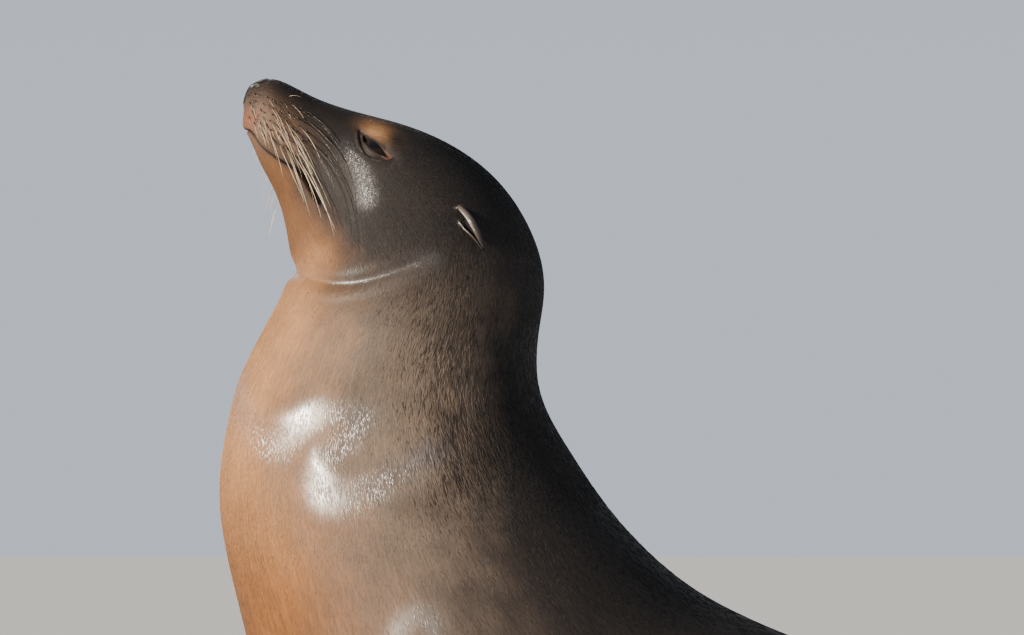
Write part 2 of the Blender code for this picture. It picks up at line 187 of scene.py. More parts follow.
HEAD_RINGS_APART = 1.7 * MM
TRUNK_RINGS_APART = 9 * MM
FACE_COAT = 0.9 * MM
BODY_COAT = 2.2 * MM
FLOOR_CONTACT = 0.2 * MM


def lengths_along(corners):
    """How far along a line each of its corners is."""
    return np.concatenate([[0], np.cumsum(np.linalg.norm(np.diff(corners, axis=0), axis=1))])


def spline(knots, values):
    """A natural cubic spline through values at knots, as a function of the distance along."""
    step = np.diff(knots)
    slope = np.diff(values, axis=0) / step[:, None]
    count = len(knots)
    matrix = np.eye(count)
    right = np.zeros((count, values.shape[1]))
    for i in range(1, count - 1):
        matrix[i, i - 1 : i + 2] = step[i - 1], 2 * (step[i - 1] + step[i]), step[i]
        right[i] = 6 * (slope[i] - slope[i - 1])
    bend = np.linalg.solve(matrix, right)

    def at(distance):
        i = np.clip(np.searchsorted(knots, distance, "right") - 1, 0, count - 2)
        h = step[i][:, None]
        a = (knots[i + 1] - distance)[:, None] / h
        b = 1 - a
        cubic = ((a**3 - a) * bend[i] + (b**3 - b) * bend[i + 1]) * h * h / 6
        return a * values[i] + b * values[i + 1] + cubic

    return at


rows = []
for top, bottom, half, widest, upper, lower in SECTIONS.values():
    rows.append((*(MM * np.array([*top, *bottom, half])), widest, upper, lower))
rows = np.array(rows)
rows[:, [0, 2]] += CHEST_FRONT
middles = (rows[:, 0:2] + rows[:, 2:4]) / 2
section_places = lengths_along(middles)
seat_place = section_places[list(SECTIONS).index("seat")]
BODY_LENGTH = section_places[-1]
section_at = spline(section_places, rows)


def on_body(along, turn):
    """Points of the body's outline. turn is 0 along the back, a quarter turn on her left, half below."""
    top_y, top_z, bottom_y, bottom_z, half, widest, upper, lower = section_at(along).T
    height = np.hypot(top_y - bottom_y, top_z - bottom_z) / 2
    rise_y = (top_y - bottom_y) / (2 * height)
    rise_z = (top_z - bottom_z) / (2 * height)
    fullness = np.where(np.cos(turn) > 0, upper, lower)
    across = np.sign(np.sin(turn)) * np.abs(np.sin(turn)) ** (2 / fullness) * half
    up = np.abs(np.cos(turn)) ** (2 / fullness)
    up = np.where(np.cos(turn) > 0, widest + (1 - widest) * up, widest - (1 + widest) * up) * height
    middle_y = (top_y + bottom_y) / 2
    middle_z = (top_z + bottom_z) / 2
    return np.stack([across, middle_y + rise_y * up, middle_z + rise_z * up], axis=1)


def smooth_step(value, start, end):
    """Rises softly from 0 to 1 as a value goes from start to end."""
    share = np.clip((value - start) / (end - start), 0, 1)
    return share * share * (3 - 2 * share)


def bell(value, width):
    """One at zero, fading softly away to both sides."""
    return np.exp(-((value / width) ** 2))


def points_of(piece):
    """The places of a piece's points."""
    points = np.empty(len(piece.data.vertices) * 3)
    piece.data.vertices.foreach_get("co", points)
    return points.reshape(-1, 3)


def set_points(piece, points):
    """Moves a piece's points to these places."""
    piece.data.vertices.foreach_set("co", points.ravel())
    piece.data.update()


def normals_of(piece):
    """The way the piece faces at each of its points."""
    normals = np.empty(len(piece.data.vertices) * 3)
    piece.data.vertex_normals.foreach_get("vector", normals)
    return normals.reshape(-1, 3)


def only(piece):
    """Selects this piece and nothing else."""
    bpy.ops.object.select_all(action="DESELECT")
    piece.select_set(True)
    bpy.context.view_layer.objects.active = piece


def turn_faces_out(piece):
    """Makes all faces of a closed piece look outwards."""
    only(piece)
    bpy.ops.object.mode_set(mode="EDIT")
    bpy.ops.mesh.select_all(action="SELECT")
    bpy.ops.mesh.normals_make_consistent(inside=False)
    bpy.ops.object.mode_set(mode="OBJECT")


def renumber(piece):
    """Puts a piece's points and faces in the order of their places, so that they are the same in each run."""
    points = points_of(piece)
    order = np.lexsort(points.T)
    rank = np.empty(len(order), int)
    rank[order] = np.arange(len(order))
    faces = []
    for polygon in piece.data.polygons:
        corners = rank[list(polygon.vertices)].tolist()
        first = corners.index(min(corners))
        faces.append(corners[first:] + corners[:first])
    piece.data.clear_geometry()
    piece.data.from_pydata(points[order].tolist(), [], sorted(faces))
    piece.data.update()


def pick_points(piece, wanted):
    """Selects these points of a piece, and opens it in edit mode."""
    only(piece)
    bpy.ops.object.mode_set(mode="EDIT")
    bpy.ops.mesh.select_mode(type="VERT")
    bpy.ops.mesh.select_all(action="DESELECT")
    bpy.ops.object.mode_set(mode="OBJECT")
    piece.data.vertices.foreach_set("select", wanted)
    bpy.ops.object.mode_set(mode="EDIT")
    bpy.ops.mesh.select_mode(type="VERT")


def unit(ways):
    """These ways, each made of length one."""
    return ways / np.linalg.norm(ways, axis=-1, keepdims=True)


def body_place(piece):
    """Where each point of the ball that becomes the skin lies along the body and round it."""
    ball = unit(points_of(piece))
    share = np.arccos(np.clip(ball[:, 2], -1, 1)) / math.pi
    along = np.interp(share * rings_passed[-1], rings_passed, ruler)
    turn = np.arctan2(ball[:, 0], ball[:, 1])
    points = on_body(along, turn)
    pole = np.hypot(ball[:, 0], ball[:, 1]) < 1e-5
    ends = section_at(along[pole])
    points[pole, 0] = 0
    points[pole, 1:3] = (ends[:, 0:2] + ends[:, 2:4]) / 2
    return along, turn, points


def curved(corners, count=24):
    """A smooth line through a few points, given in mm."""
    corners = np.array(corners, float) * MM
    lengths = lengths_along(corners)
    return spline(lengths, corners)(np.linspace(0, lengths[-1], count))


def line_distance(flat, line):
    """How far each flat point is from a line, how far along the line that is, and which side it is on."""
    best = np.full(len(flat), 1e3)
    where = np.zeros(len(flat))
    left = np.zeros(len(flat), bool)
    for i, (a, b) in enumerate(zip(line, line[1:])):
        run = b - a
        share = np.clip(((flat - a) @ run) / max(run @ run, 1e-18), 0, 1)
        gap = flat - (a + share[:, None] * run)
        distance = np.hypot(gap[:, 0], gap[:, 1])
        closer = distance < best
        best[closer] = distance[closer]
        where[closer] = (i + share[closer]) / (len(line) - 1)
        left[closer] = (run[0] * gap[closer, 1] - run[1] * gap[closer, 0]) > 0
    return best, where, left


def seen_from_side(points):
    """How far behind the front of her chest points are, and how high."""
    return points[:, 1:3] - np.array([CHEST_FRONT, 0])


# The rings of points stand close on the head and further apart along the trunk, and closer still about the
# mouth, the nose and the eyes.
ruler = np.linspace(0, BODY_LENGTH, 4000)
apart = HEAD_RINGS_APART + (TRUNK_RINGS_APART - HEAD_RINGS_APART) * smooth_step(ruler, 0.17, 0.55)
apart -= 4 * MM * smooth_step(ruler, seat_place, BODY_LENGTH)
rings_passed = np.concatenate([[0], np.cumsum(np.diff(ruler) / apart[1:])])
bpy.ops.mesh.primitive_uv_sphere_add(segments=BODY_AROUND, ring_count=int(rings_passed[-1]), radius=1)
skin = bpy.context.object
skin.name = "skin"

MOUTH = curved([(14, 776), (26, 773), (32, 765), (44, 754), (56, 747), (67, 740), (75, 728), (83, 714)])
NOSE_PAD = np.array([0, 25 * MM + CHEST_FRONT, 813 * MM])
NOSE_PAD_RADIUS = 18 * MM
PADS = np.array([40 * MM, 46 * MM + CHEST_FRONT, 778 * MM])
EYE = np.array([53 * MM, 126 * MM + CHEST_FRONT, 762 * MM])


def gaps_to(points, centre):
    """The ways to these points from a centre on her left side, or from its twin on her right."""
    return np.stack([np.abs(points[:, 0]), points[:, 1], points[:, 2]], axis=1) - centre


def near(points, centre, radius):
    """Which points lie within a radius of a centre or of its twin."""
    return np.linalg.norm(gaps_to(points, centre), axis=1) < radius


for finer in (1, 2):
    along, turn, points = body_place(skin)
    mouth_gap = line_distance(seen_from_side(points), MOUTH)[0]
    if finer == 1:
        wanted = (mouth_gap < 7 * MM) & (along < 0.14) | near(points, PADS, 27 * MM)
        wanted |= near(points, NOSE_PAD, 22 * MM) | near(points, EYE, 25 * MM)
    else:
        wanted = (mouth_gap < 4 * MM) & (along < 0.13) & (points[:, 2] < 0.752)
        wanted |= near(points, EYE, 18 * MM)
    pick_points(skin, wanted)
    bpy.ops.mesh.select_mode(type="FACE")
    bpy.ops.mesh.subdivide(number_cuts=1)
    bpy.ops.object.mode_set(mode="OBJECT")
renumber(skin)
along, turn, points = body_place(skin)
set_points(skin, points)
turn_faces_out(skin)
outline = points.copy()
outward = normals_of(skin)


def swelling(centre, radius, height):
    """A rounded rise or hollow about a point on her left side and its twin on her right."""
    centre = np.array(centre) * MM + np.array([0, CHEST_FRONT, 0])
    return height * MM * np.exp(-(gaps_to(outline, centre) ** 2).sum(axis=1) / (radius * MM) ** 2)


side_view = seen_from_side(outline)
shape = -(FACE_COAT + (BODY_COAT - FACE_COAT) * smooth_step(along, 0.07, 0.30))
shape += swelling((36, 48, 782), 17, 0.7)  # whisker pads
shape += swelling((42, 104, 765), 15, -2.0)  # hollow in front of the eye
shape += swelling((72, 203, 668), 22, -1.8)  # hollow below the ear

# The throat folds where the raised head bends back, with a roll of skin below the crease.
THROAT = curved([(50, 668), (60, 663), (72, 658), (96, 652), (142, 661), (176, 674)])
crease, crease_place, above = line_distance(side_view, THROAT)
fade = smooth_step(crease_place, -0.1, 0.12) * (1 - smooth_step(crease_place, 0.75, 1.0))
on_crease = fade > 0.05
shape -= 2.4 * MM * bell(crease + 0.4 * MM, 5 * MM) * fade
shape += np.where(above, 0, 1.5 * MM * bell(crease - 12 * MM, 8 * MM)) * fade

# Three soft rolls of skin cross the chest where it meets the neck.
ROLLS = (
    (curved([(24, 592), (32, 560), (52, 548), (88, 562), (124, 566)]), 15, 3.2),
    (curved([(112, 556), (92, 536), (82, 514), (98, 500), (136, 512), (180, 542), (208, 566)]), 14, 3.2),
    (curved([(128, 476), (152, 486), (176, 502), (200, 524)]), 13, 2.6),
)
for line, width, height in ROLLS:
    gap, place, _ = line_distance(side_view, line)
    fade = smooth_step(place, -0.1, 0.25) * (1 - smooth_step(place, 0.7, 1.0))
    shape += height * MM * bell(gap, width * MM) * fade

# The fat under the hide moves it in long shallow waves, none of them on the face.
waves = np.zeros(len(points))
for wave in range(14):
    direction = rng.normal(size=3)
    direction *= 2 * math.pi / (rng.uniform(0.07, 0.22) * np.linalg.norm(direction))
    sideways = np.abs(outline * [1, 0, 0]) @ direction
    lengthways = outline @ (direction * [0, 1, 1])
    waves += np.sin(sideways + lengthways + rng.uniform(0, 2 * math.pi))
shape += np.clip(waves * 0.2, -1.2, 1.2) * MM * smooth_step(along, 0.2, 0.38)

# The mouth is shut in front under the whisker pads and parts a little towards its corner.
mouth_gap, mouth_place, upper_lip = line_distance(side_view, MOUTH)
on_muzzle = smooth_step(0.125 - along, 0, 0.01)
parting = 1.3 + 2.0 * smooth_step(mouth_place, 0.55, 0.74) * (1 - smooth_step(mouth_place, 0.93, 1.0))
parting += 0.9 * bell(mouth_place - 0.16, 0.07)
depth = 3.2 + 3.5 * smooth_step(mouth_place, 0.5, 0.75)
depth *= 1 - smooth_step(mouth_place, 0.97, 1.0)
inside_mouth = (1 - smooth_step(mouth_gap / MM, parting * 0.35, parting * 1.15)) * on_muzzle
shape -= depth * MM * inside_mouth
shape += np.where(upper_lip, 0.9, -0.5) * MM * bell(mouth_gap - 4 * MM, 3 * MM) * on_muzzle

# The nose is a bare pad with two slanting nostrils and a groove between them.
nose_gap = np.linalg.norm(outline - NOSE_PAD, axis=1)
nose = 1 - smooth_step(nose_gap, NOSE_PAD_RADIUS - 2 * MM, NOSE_PAD_RADIUS)
shape += 0.5 * MM * nose - 0.6 * MM * bell(nose_gap - NOSE_PAD_RADIUS, 1.6 * MM)
NOSTRIL = curved([(4.5, 798), (8, 801), (12, 806), (15, 811)])
front_view = np.stack([np.abs(outline[:, 0]), outline[:, 2]], axis=1)
nostril_gap = line_distance(front_view, NOSTRIL)[0]
nostril = bell(nostril_gap, 1.5 * MM) * smooth_step(CHEST_FRONT + 36 * MM - outline[:, 1], 0, 4 * MM)
shape -= 4.5 * MM * nostril
shape += 0.8 * MM * bell(nostril_gap - 3.2 * MM, 1.6 * MM) * nose
philtrum = bell(outline[:, 0], 1.3 * MM) * smooth_step(CHEST_FRONT + 32 * MM - outline[:, 1], 0, 4 * MM)
philtrum *= smooth_step(outline[:, 2], 776 * MM, 780 * MM)
philtrum *= 1 - smooth_step(outline[:, 2], 800 * MM, 808 * MM)
shape -= 1.2 * MM * philtrum
points = outline + outward * shape[:, None]

# The eye looks out through a narrow slanting opening. The lids follow the ball of the eye, the lower one
# as a soft roll with a crease below it, and the brow swells over the upper one.
EYE_RADIUS = 20 * MM
EYE_AT = np.array([2.5, -3.5, -21.3])  # the ball's middle, in mm along the slant, up and out from the opening
EYE_SLANT = math.radians(40.4)
LID = 1.2 * MM
FRONT_CORNER, REAR_CORNER = -12.5, 19
TEAR_LINE = 19.5
LID_POINTS = 40


def side_signs(points):
    """What turns a place on her left into its twin on her right, where a point is on her right."""
    return np.where(points[:, 0] < 0, -1, 1)[:, None] * [1, 0, 0] + [0, 1, 1]


skin_tree = BVHTree.FromPolygons(points.tolist(), [polygon.vertices[:] for polygon in skin.data.polygons])
beside_eye = Vector((0.3, CHEST_FRONT + 126.2 * MM, 765 * MM))
eye_spot, eye_out, _, _ = skin_tree.ray_cast(beside_eye, Vector((-1, 0, 0)))
eye_out = np.array(eye_out)
slant = np.array([0, math.cos(EYE_SLANT), -math.sin(EYE_SLANT)])
slant[0] = -(slant @ eye_out) / eye_out[0]
slant /= np.linalg.norm(slant)
eye_up = np.cross(eye_out, slant)
eye_axes = np.stack([slant, eye_up, eye_out])
eye_spot = np.array(eye_spot)
mirror = side_signs(outline)
u, v, h = ((points * mirror - eye_spot) @ eye_axes.T).T / MM
lid_place = np.stack([u, v], axis=1)
edge_u = np.linspace(FRONT_CORNER, REAR_CORNER, LID_POINTS)
share = np.clip((edge_u - FRONT_CORNER) / (REAR_CORNER - FRONT_CORNER), 0, 1)
lower_edge = -6.6 * np.sin(math.pi * share**0.85) ** 0.6
upper_edge = 0.5 * np.sin(math.pi * share)
upper_line, lower_line = (np.stack([edge_u, edge_v], axis=1) for edge_v in (upper_edge, lower_edge))
opening = np.concatenate([upper_line, lower_line[::-1], upper_line[:1]])
lid_gap = line_distance(lid_place, opening)[0]
between = (v < np.interp(u, edge_u, upper_edge)) & (v > np.interp(u, edge_u, lower_edge))
between &= (u > FRONT_CORNER) & (u < REAR_CORNER)
crease_u = np.linspace(-TEAR_LINE, TEAR_LINE, LID_POINTS)
share = np.clip((crease_u + TEAR_LINE) / (2 * TEAR_LINE), 0, 1)
crease_v = -11.7 * np.sin(math.pi * share**1.45) ** 0.7
crease_gap = line_distance(lid_place, np.stack([crease_u, crease_v], axis=1))[0]
inner_corner = line_distance(lid_place, np.array([(-TEAR_LINE, 0.3), (FRONT_CORNER, 0)]))[0]
about_eye = (np.hypot(u, v) < 40) & (h > -25)
ball = np.clip((EYE_RADIUS / MM) ** 2 - (u - EYE_AT[0]) ** 2 - (v - EYE_AT[1]) ** 2, 0, None)
on_ball = EYE_AT[2] + np.sqrt(ball)
margin = np.maximum(on_ball + LID / MM, h - 2.4)
lids = h + (margin - h) * np.exp(-((lid_gap / 5.5) ** 2))
lids += 1.0 * np.exp(-(((u - 3) / 16) ** 2) - ((v - 4.5) / 3.5) ** 2) * (v > 0)
lids += 1.1 * np.exp(-(((u - 2) / 14) ** 2) - ((v - 9) / 6) ** 2)
below_lid = (v < 0) & (crease_gap > 0) & (lid_gap < 7) & (lid_gap < crease_gap + 5)
lids += 0.7 * bell(crease_gap - 2.6, 1.8) * below_lid
lids -= 1.3 * bell(crease_gap, 1.0)
lids -= 1.2 * bell(inner_corner, 0.9)
lids = np.where(between, margin - (LID / MM + 1.6) * smooth_step(lid_gap, 0, 0.7), lids)
fade = np.where(about_eye, 1 - smooth_step(np.hypot(u, v), 28, 38), 0)
h = h + (lids - h) * fade
placed = eye_spot + (np.stack([u, v, h], axis=1) * MM) @ eye_axes
points = np.where(about_eye[:, None], placed * mirror, points)
set_points(skin, points)


def mark(piece, name, values):
    """Keeps a number for each point of a piece, under a name."""
    layer = piece.data.attributes.new(name, "FLOAT", "POINT")
    layer.data.foreach_set("value", np.asarray(values, float).ravel())


def marked(piece, name):
    """The number that each point of a piece keeps under a name."""
    values = np.empty(len(piece.data.vertices))
    piece.data.attributes[name].data.foreach_get("value", values)
    return values


BODY, FORE, HIND, EAR = 1, 2, 3, 4
FAR = 99.0
# What each point of the hide knows: which part it is on, its place there, and how near it is to a feature.
known = {"kind": np.full(len(points), BODY), "run": along, "side": turn, "face": np.zeros(len(points))}
known |= {"mouth": inside_mouth, "mouth_gap": np.where(on_muzzle > 0.5, mouth_gap / MM, FAR)}
known |= {"mouth_place": mouth_place, "fold_gap": np.where(on_crease, crease / MM, FAR)}
known |= {"nose": nose, "nostril": nostril}
known |= {"eye_u": np.where(about_eye, u, FAR), "eye_v": np.where(about_eye, v, FAR)}
known |= {"lid_gap": np.where(about_eye, np.where(between, -lid_gap, lid_gap), FAR)}
known |= {"lid_crease": np.where(about_eye, np.minimum(crease_gap, inner_corner), FAR)}
NOWHERE = {"mouth": 0, "mouth_gap": FAR, "mouth_place": 0, "fold_gap": FAR, "nose": 0, "nostril": 0}
NOWHERE |= {"eye_u": FAR, "eye_v": FAR, "lid_gap": FAR, "lid_crease": FAR}

# ---- Flippers -------------------------------------------------------------------------------------------
# Long hands and feet of bone and gristle in thick skin, bare from the wrist and the ankle on. Each is an
# upper and a lower sheet, shaped through slices of the limb and closed round its edge.
# Each slice, in mm from the chest: centre, the way its leading edge faces (x, y), half width ahead of and
# behind the centre, and thickness.
FOREFLIPPER = {
    "shoulder": ((104, 215, 318), (0.05, -1.0), 90, 108, 104),
    "elbow": ((136, 192, 224), (0.12, -1.0), 80, 92, 98),
    "forearm": ((150, 172, 142), (0.22, -1.0), 66, 76, 74),
    "wrist": ((162, 160, 70), (0.35, -0.95), 60, 67, 52),
    "heel": ((180, 166, 27), (0.48, -0.88), 62, 68, 40),
    "palm": ((218, 186, 13), (0.56, -0.83), 64, 74, 28),
    "blade": ((285, 234, 8), (0.60, -0.80), 58, 72, 20),
    "fingers": ((345, 286, 5.5), (0.66, -0.75), 45, 57, 13),
    "tip": ((404, 346, 3.5), (0.74, -0.67), 18, 24, 8),
}
HINDFLIPPER = {
    "ankle_root": ((30, 1118, 64), (-0.15, -1.0), 44, 48, 80),
    "ankle": ((80, 1138, 48), (-0.20, -1.0), 42, 46, 64),
    "heel": ((124, 1128, 27), (-0.45, -0.9), 46, 50, 46),
    "sole": ((178, 1094, 12), (-0.60, -0.8), 60, 62, 29),
    "toes": ((240, 1046, 6), (-0.60, -0.8), 76, 76, 17),
    "toe_ends": ((318, 988, 2.5), (-0.60, -0.8), 84, 84, 7),
}
DIGITS = 5
RIM_MERGE = 0.2 * MM


def limb_spline(slices):
    """A limb's middle, widths, thickness and lead as a function of the share along it, and its length."""
    rows = []
    for centre, lead, ahead, behind, thick in slices.values():
        rows.append((*(MM * np.array([*centre, ahead, behind, thick])), *lead))
    rows = np.array(rows)
    rows[:, 1] += CHEST_FRONT
    along = lengths_along(rows[:, 0:3])
    return spline(along / along[-1], rows), along[-1]


def square_to(ways, axis):
    """These ways with what runs along an axis taken out, each made of length one."""
    ways = ways - axis * (ways * axis).sum(axis=1)[:, None]
    return ways / np.maximum(np.linalg.norm(ways, axis=1), 1e-9)[:, None]


def on_limb(at, t, across, face, reach, breadth, relief):
    """Points of a limb: t along it, across from trailing (-1) to leading edge (1), face 1 above, -1 below."""
    here = at(t * reach)
    run = unit(at(np.clip(t * reach + 0.01, 0, 1))[:, 0:3] - at(np.clip(t * reach - 0.01, 0, 1))[:, 0:3])
    lead = square_to(np.concatenate([here[:, 6:8], np.zeros((len(t), 1))], axis=1), run)
    up = np.cross(lead, run)
    up *= np.where((up[:, 0] < 0) | (up[:, 2] < 0), -1, 1)[:, None]
    width = np.where(across > 0, here[:, 3], here[:, 4]) * breadth
    edge = np.clip(1 - np.abs(across) ** 2.2, 0, None) ** 0.5
    lean = 0.62 + 0.38 * (across + 1) / 2
    end = np.clip((1 - t**8), 0.06, None) ** 0.5
    height = face * (here[:, 5] / 2 * edge * lean * end) + relief * MM * edge
    return here[:, 0:3] + lead * (across * width)[:, None] + up * height[:, None]


def mark_part(piece, kind, run, side, face):
    """Keeps which part a piece is, and where on it each of its points lies."""
    mark(piece, "kind", np.full(len(run), kind))
    mark(piece, "run", run)
    mark(piece, "side", side)
    mark(piece, "face", face)


def limb_sheets(name, kind, at, across_count, along_count, form):
    """A closed limb on her left: two grids for its faces, joined at their rims, and the root closed."""
    bpy.ops.mesh.primitive_grid_add(x_subdivisions=across_count, y_subdivisions=along_count, size=2)
    limb = bpy.context.object
    limb.name = name
    bpy.ops.object.mode_set(mode="EDIT")
    bpy.ops.mesh.select_all(action="SELECT")
    bpy.ops.mesh.duplicate()
    bpy.ops.transform.translate(value=(0, 0, -1))
    bpy.ops.object.mode_set(mode="OBJECT")
    flat = points_of(limb)
    across = np.sin(flat[:, 0] * math.pi / 2)
    t = (flat[:, 1] + 1) / 2
    face = np.where(flat[:, 2] > -0.5, 1, -1)
    set_points(limb, form(at, t, across, face))
    mark_part(limb, kind, t, across, face)
    only(limb)
    bpy.ops.object.mode_set(mode="EDIT")
    bpy.ops.mesh.select_mode(type="VERT")
    bpy.ops.mesh.select_all(action="SELECT")
    bpy.ops.mesh.remove_doubles(threshold=RIM_MERGE)
    bpy.ops.mesh.select_all(action="DESELECT")
    bpy.ops.mesh.select_non_manifold()
    bpy.ops.mesh.edge_face_add()
    bpy.ops.object.mode_set(mode="OBJECT")
    turn_faces_out(limb)
    return limb


def fore_form(at, t, across, face):
    """Fingers show as long low ridges, and the thin trailing edge is scalloped between their ends."""
    free = smooth_step(t, 0.35, 0.6)
    fan = across + 0.25 * (1 - t)
    ridges = 0.9 * np.cos(2.6 * math.pi * (fan - 0.72)) * free * (face > 0)
    ridges *= 0.3 + 0.7 * smooth_step(across, -1, 0.2)
    wave = np.where((across < 0) & (t > 0.4), 0.06 * np.abs(np.sin(math.pi * DIGITS * t)), 0)
    reach = 1 - 0.045 * np.abs(across) ** 2.5 * smooth_step(t, 0.7, 1)
    creases = -0.8 * bell((t - 0.47) * 60, 1) - 0.7 * bell((t - 0.51) * 60, 1)
    return on_limb(at, t, across, face, reach, 1 - wave, ridges + creases * (face > 0))


def hind_form(at, t, across, face):
    """Five toes run out into soft flaps, longest at both edges, with thin web between them."""
    free = np.clip((t - 0.45) / 0.55, 0, None)
    digit = (across + 1) / 2 * DIGITS
    flap = np.abs(np.sin(math.pi * digit)) ** 0.6
    reach = 1 - free * (0.22 - 0.10 * across**2 - 0.12 * flap)
    ridges = 1.6 * (flap - 0.75) * smooth_step(t, 0.25, 0.6) * (1 - smooth_step(t, 0.85, 1)) * (face > 0)
    return on_limb(at, t, across, face, reach, 1.0, ridges)


fore_at, fore_length = limb_spline(FOREFLIPPER)
hind_at, _ = limb_spline(HINDFLIPPER)
foreflipper = limb_sheets("foreflipper", FORE, fore_at, 32, 74, fore_form)
hindflipper = limb_sheets("hindflipper", HIND, hind_at, 45, 44, hind_form)


# ---- Ears -----------------------------------------------------------------------------------------------
# Small rolled flaps of gristle and skin that point down and back, hollow along the side that faces down.
# Each is a sheet curled into a scoop, given its thickness, and grown into the side of the head.
EAR_ROOT = np.array([63.5, 187, 714]) * MM + [0, CHEST_FRONT, 0]
EAR_TIP = np.array([81, 213, 678]) * MM + [0, CHEST_FRONT, 0]
EAR_SHEET = 1.5 * MM

ear_run = EAR_TIP - EAR_ROOT
ear_length = np.linalg.norm(ear_run)
ear_run /= ear_length
ear_out = np.array([1.0, 0, 0]) - ear_run * ear_run[0]
ear_out /= np.linalg.norm(ear_out)
ear_back = np.cross(ear_out, ear_run)
if ear_back[1] < 0:
    ear_back = -ear_back
bpy.ops.mesh.primitive_grid_add(x_subdivisions=30, y_subdivisions=34, size=2)
ear = bpy.context.object
ear.name = "ear"
flat = points_of(ear)
t = (flat[:, 1] + 1) / 2
# The curl runs from the outer flap over the back of the ear to the shorter inner flap.
open_half = 56 - 26 * smooth_step(t, 0.3, 0.9)
curl = np.radians(flat[:, 0] * (180 - open_half) + 305)
swell = np.sin(math.pi * (0.20 + 0.77 * t)) ** 0.75
short = 1 - 0.45 * smooth_step(-flat[:, 0], 0.2, 1.0) * smooth_step(t, 0.5, 0.85)
wide = 5.4 * MM * swell * short
thick = 4.4 * MM * swell * short
roll_in = 1 - 0.30 * smooth_step(flat[:, 0], 0.75, 1.0) - 0.15 * smooth_step(-flat[:, 0], 0.75, 1.0)
shape = EAR_ROOT + ear_run * (t * ear_length)[:, None] + ear_out * (2.5 * MM * np.sin(math.pi * t))[:, None]
shape += ear_back * (2.0 * MM * np.sin(math.pi * t))[:, None]
shape -= ear_out * (4.5 * MM * (1 - smooth_step(t, 0, 0.22)))[:, None]
shape += ear_back * (np.cos(curl) * wide * roll_in)[:, None]
shape += ear_out * (np.sin(curl) * thick * roll_in)[:, None]
set_points(ear, shape)
mark_part(ear, EAR, t, flat[:, 0], np.zeros(len(t)))
only(ear)
thickness = ear.modifiers.new("gristle", "SOLIDIFY")
thickness.thickness = EAR_SHEET
thickness.offset = 0
bpy.ops.object.modifier_apply(modifier="gristle")
turn_faces_out(ear)


# ---- Limbs and ears grown into the hide -----------------------------------------------------------------
# The far ones mirror the near ones. All of them are joined to the body's skin, and the joins are worked
# smooth, most at the shoulders where the arm's fat runs into the chest.
FLIP = np.array([-1, 1, 1])
MIDDLE_MERGE = 0.05 * MM
body_points = points_of(skin)
near_half = body_points[:, 0] > -0.001 * MM
cloud = [body_points[near_half], body_points[near_half] * FLIP]
for name, values in known.items():
    values = values[near_half]
    known[name] = [values, -values if name == "side" else values]
for piece in (foreflipper, hindflipper, ear):
    limb_points = points_of(piece)
    cloud += [limb_points, limb_points * FLIP]
    for name in known:
        values = np.full(len(limb_points), NOWHERE[name]) if name in NOWHERE else marked(piece, name)
        known[name] += [values, values]
only(foreflipper)
hindflipper.select_set(True)
ear.select_set(True)
bpy.ops.object.join()
only(skin)
union = skin.modifiers.new("grow", "BOOLEAN")
union.operation = "UNION"
union.solver = "EXACT"
union.object = foreflipper
bpy.ops.object.modifier_apply(modifier="grow")
bpy.data.objects.remove(foreflipper)
cloud = np.concatenate(cloud)
known = {name: np.concatenate(values) for name, values in known.items()}
halves = skin.modifiers.new("far_side", "MIRROR")
halves.use_bisect_axis[0] = True
halves.merge_threshold = MIDDLE_MERGE
bpy.ops.object.modifier_apply(modifier="far_side")
renumber(skin)
turn_faces_out(skin)


def tree_of(points):
    """A tree in which the points near a place are found."""
    tree = KDTree(len(points))
    for number, point in enumerate(points):
        tree.insert(point, number)
    tree.balance()
    return tree


def nearest(points, places):
    """For each place, the number of the nearest point and how far it is."""
    tree = tree_of(points)
    found = [tree.find(place)[1:] for place in places]
    return np.array(found, float).reshape(-1, 2)


# Each point takes what it knows from the piece it came from. Points made where two pieces cross are new.
points = points_of(skin)
heirs, heir_gap = nearest(cloud, points).T
seam = (heir_gap > 0.002 * MM) & (np.abs(points[:, 0]) > 1 * MM)
field = {name: values[heirs.astype(int)] for name, values in known.items()}
seam_gap = nearest(points[seam], points)[:, 1]
on_head = points[:, 2] > 0.6
behind = points[:, 1] > 0
for zone, reach, repeats in (
    (~on_head & ~behind, 34, 14),
    (~on_head & ~behind, 16, 10),
    (~on_head & behind, 26, 14),
    (~on_head & behind, 12, 10),
    (on_head, 2.6, 3),
):
    pick_points(skin, zone & (seam_gap < reach * MM))
    bpy.ops.mesh.vertices_smooth(factor=0.5, repeat=repeats)
    bpy.ops.object.mode_set(mode="OBJECT")
points = points_of(skin)
points[:, 2] = np.maximum(points[:, 2], FLOOR_CONTACT)
set_points(skin, points)
only(skin)
bpy.ops.object.shade_smooth()

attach(skin, "root")
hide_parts("head", "lower_jaw", "nose", "neck", "chest", "ribcage", "abdomen", "rump", "tail")
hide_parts("foreflipper_left", "foreflipper_right", "hindflipper_left", "hindflipper_right")
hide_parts("ear_left", "ear_right")

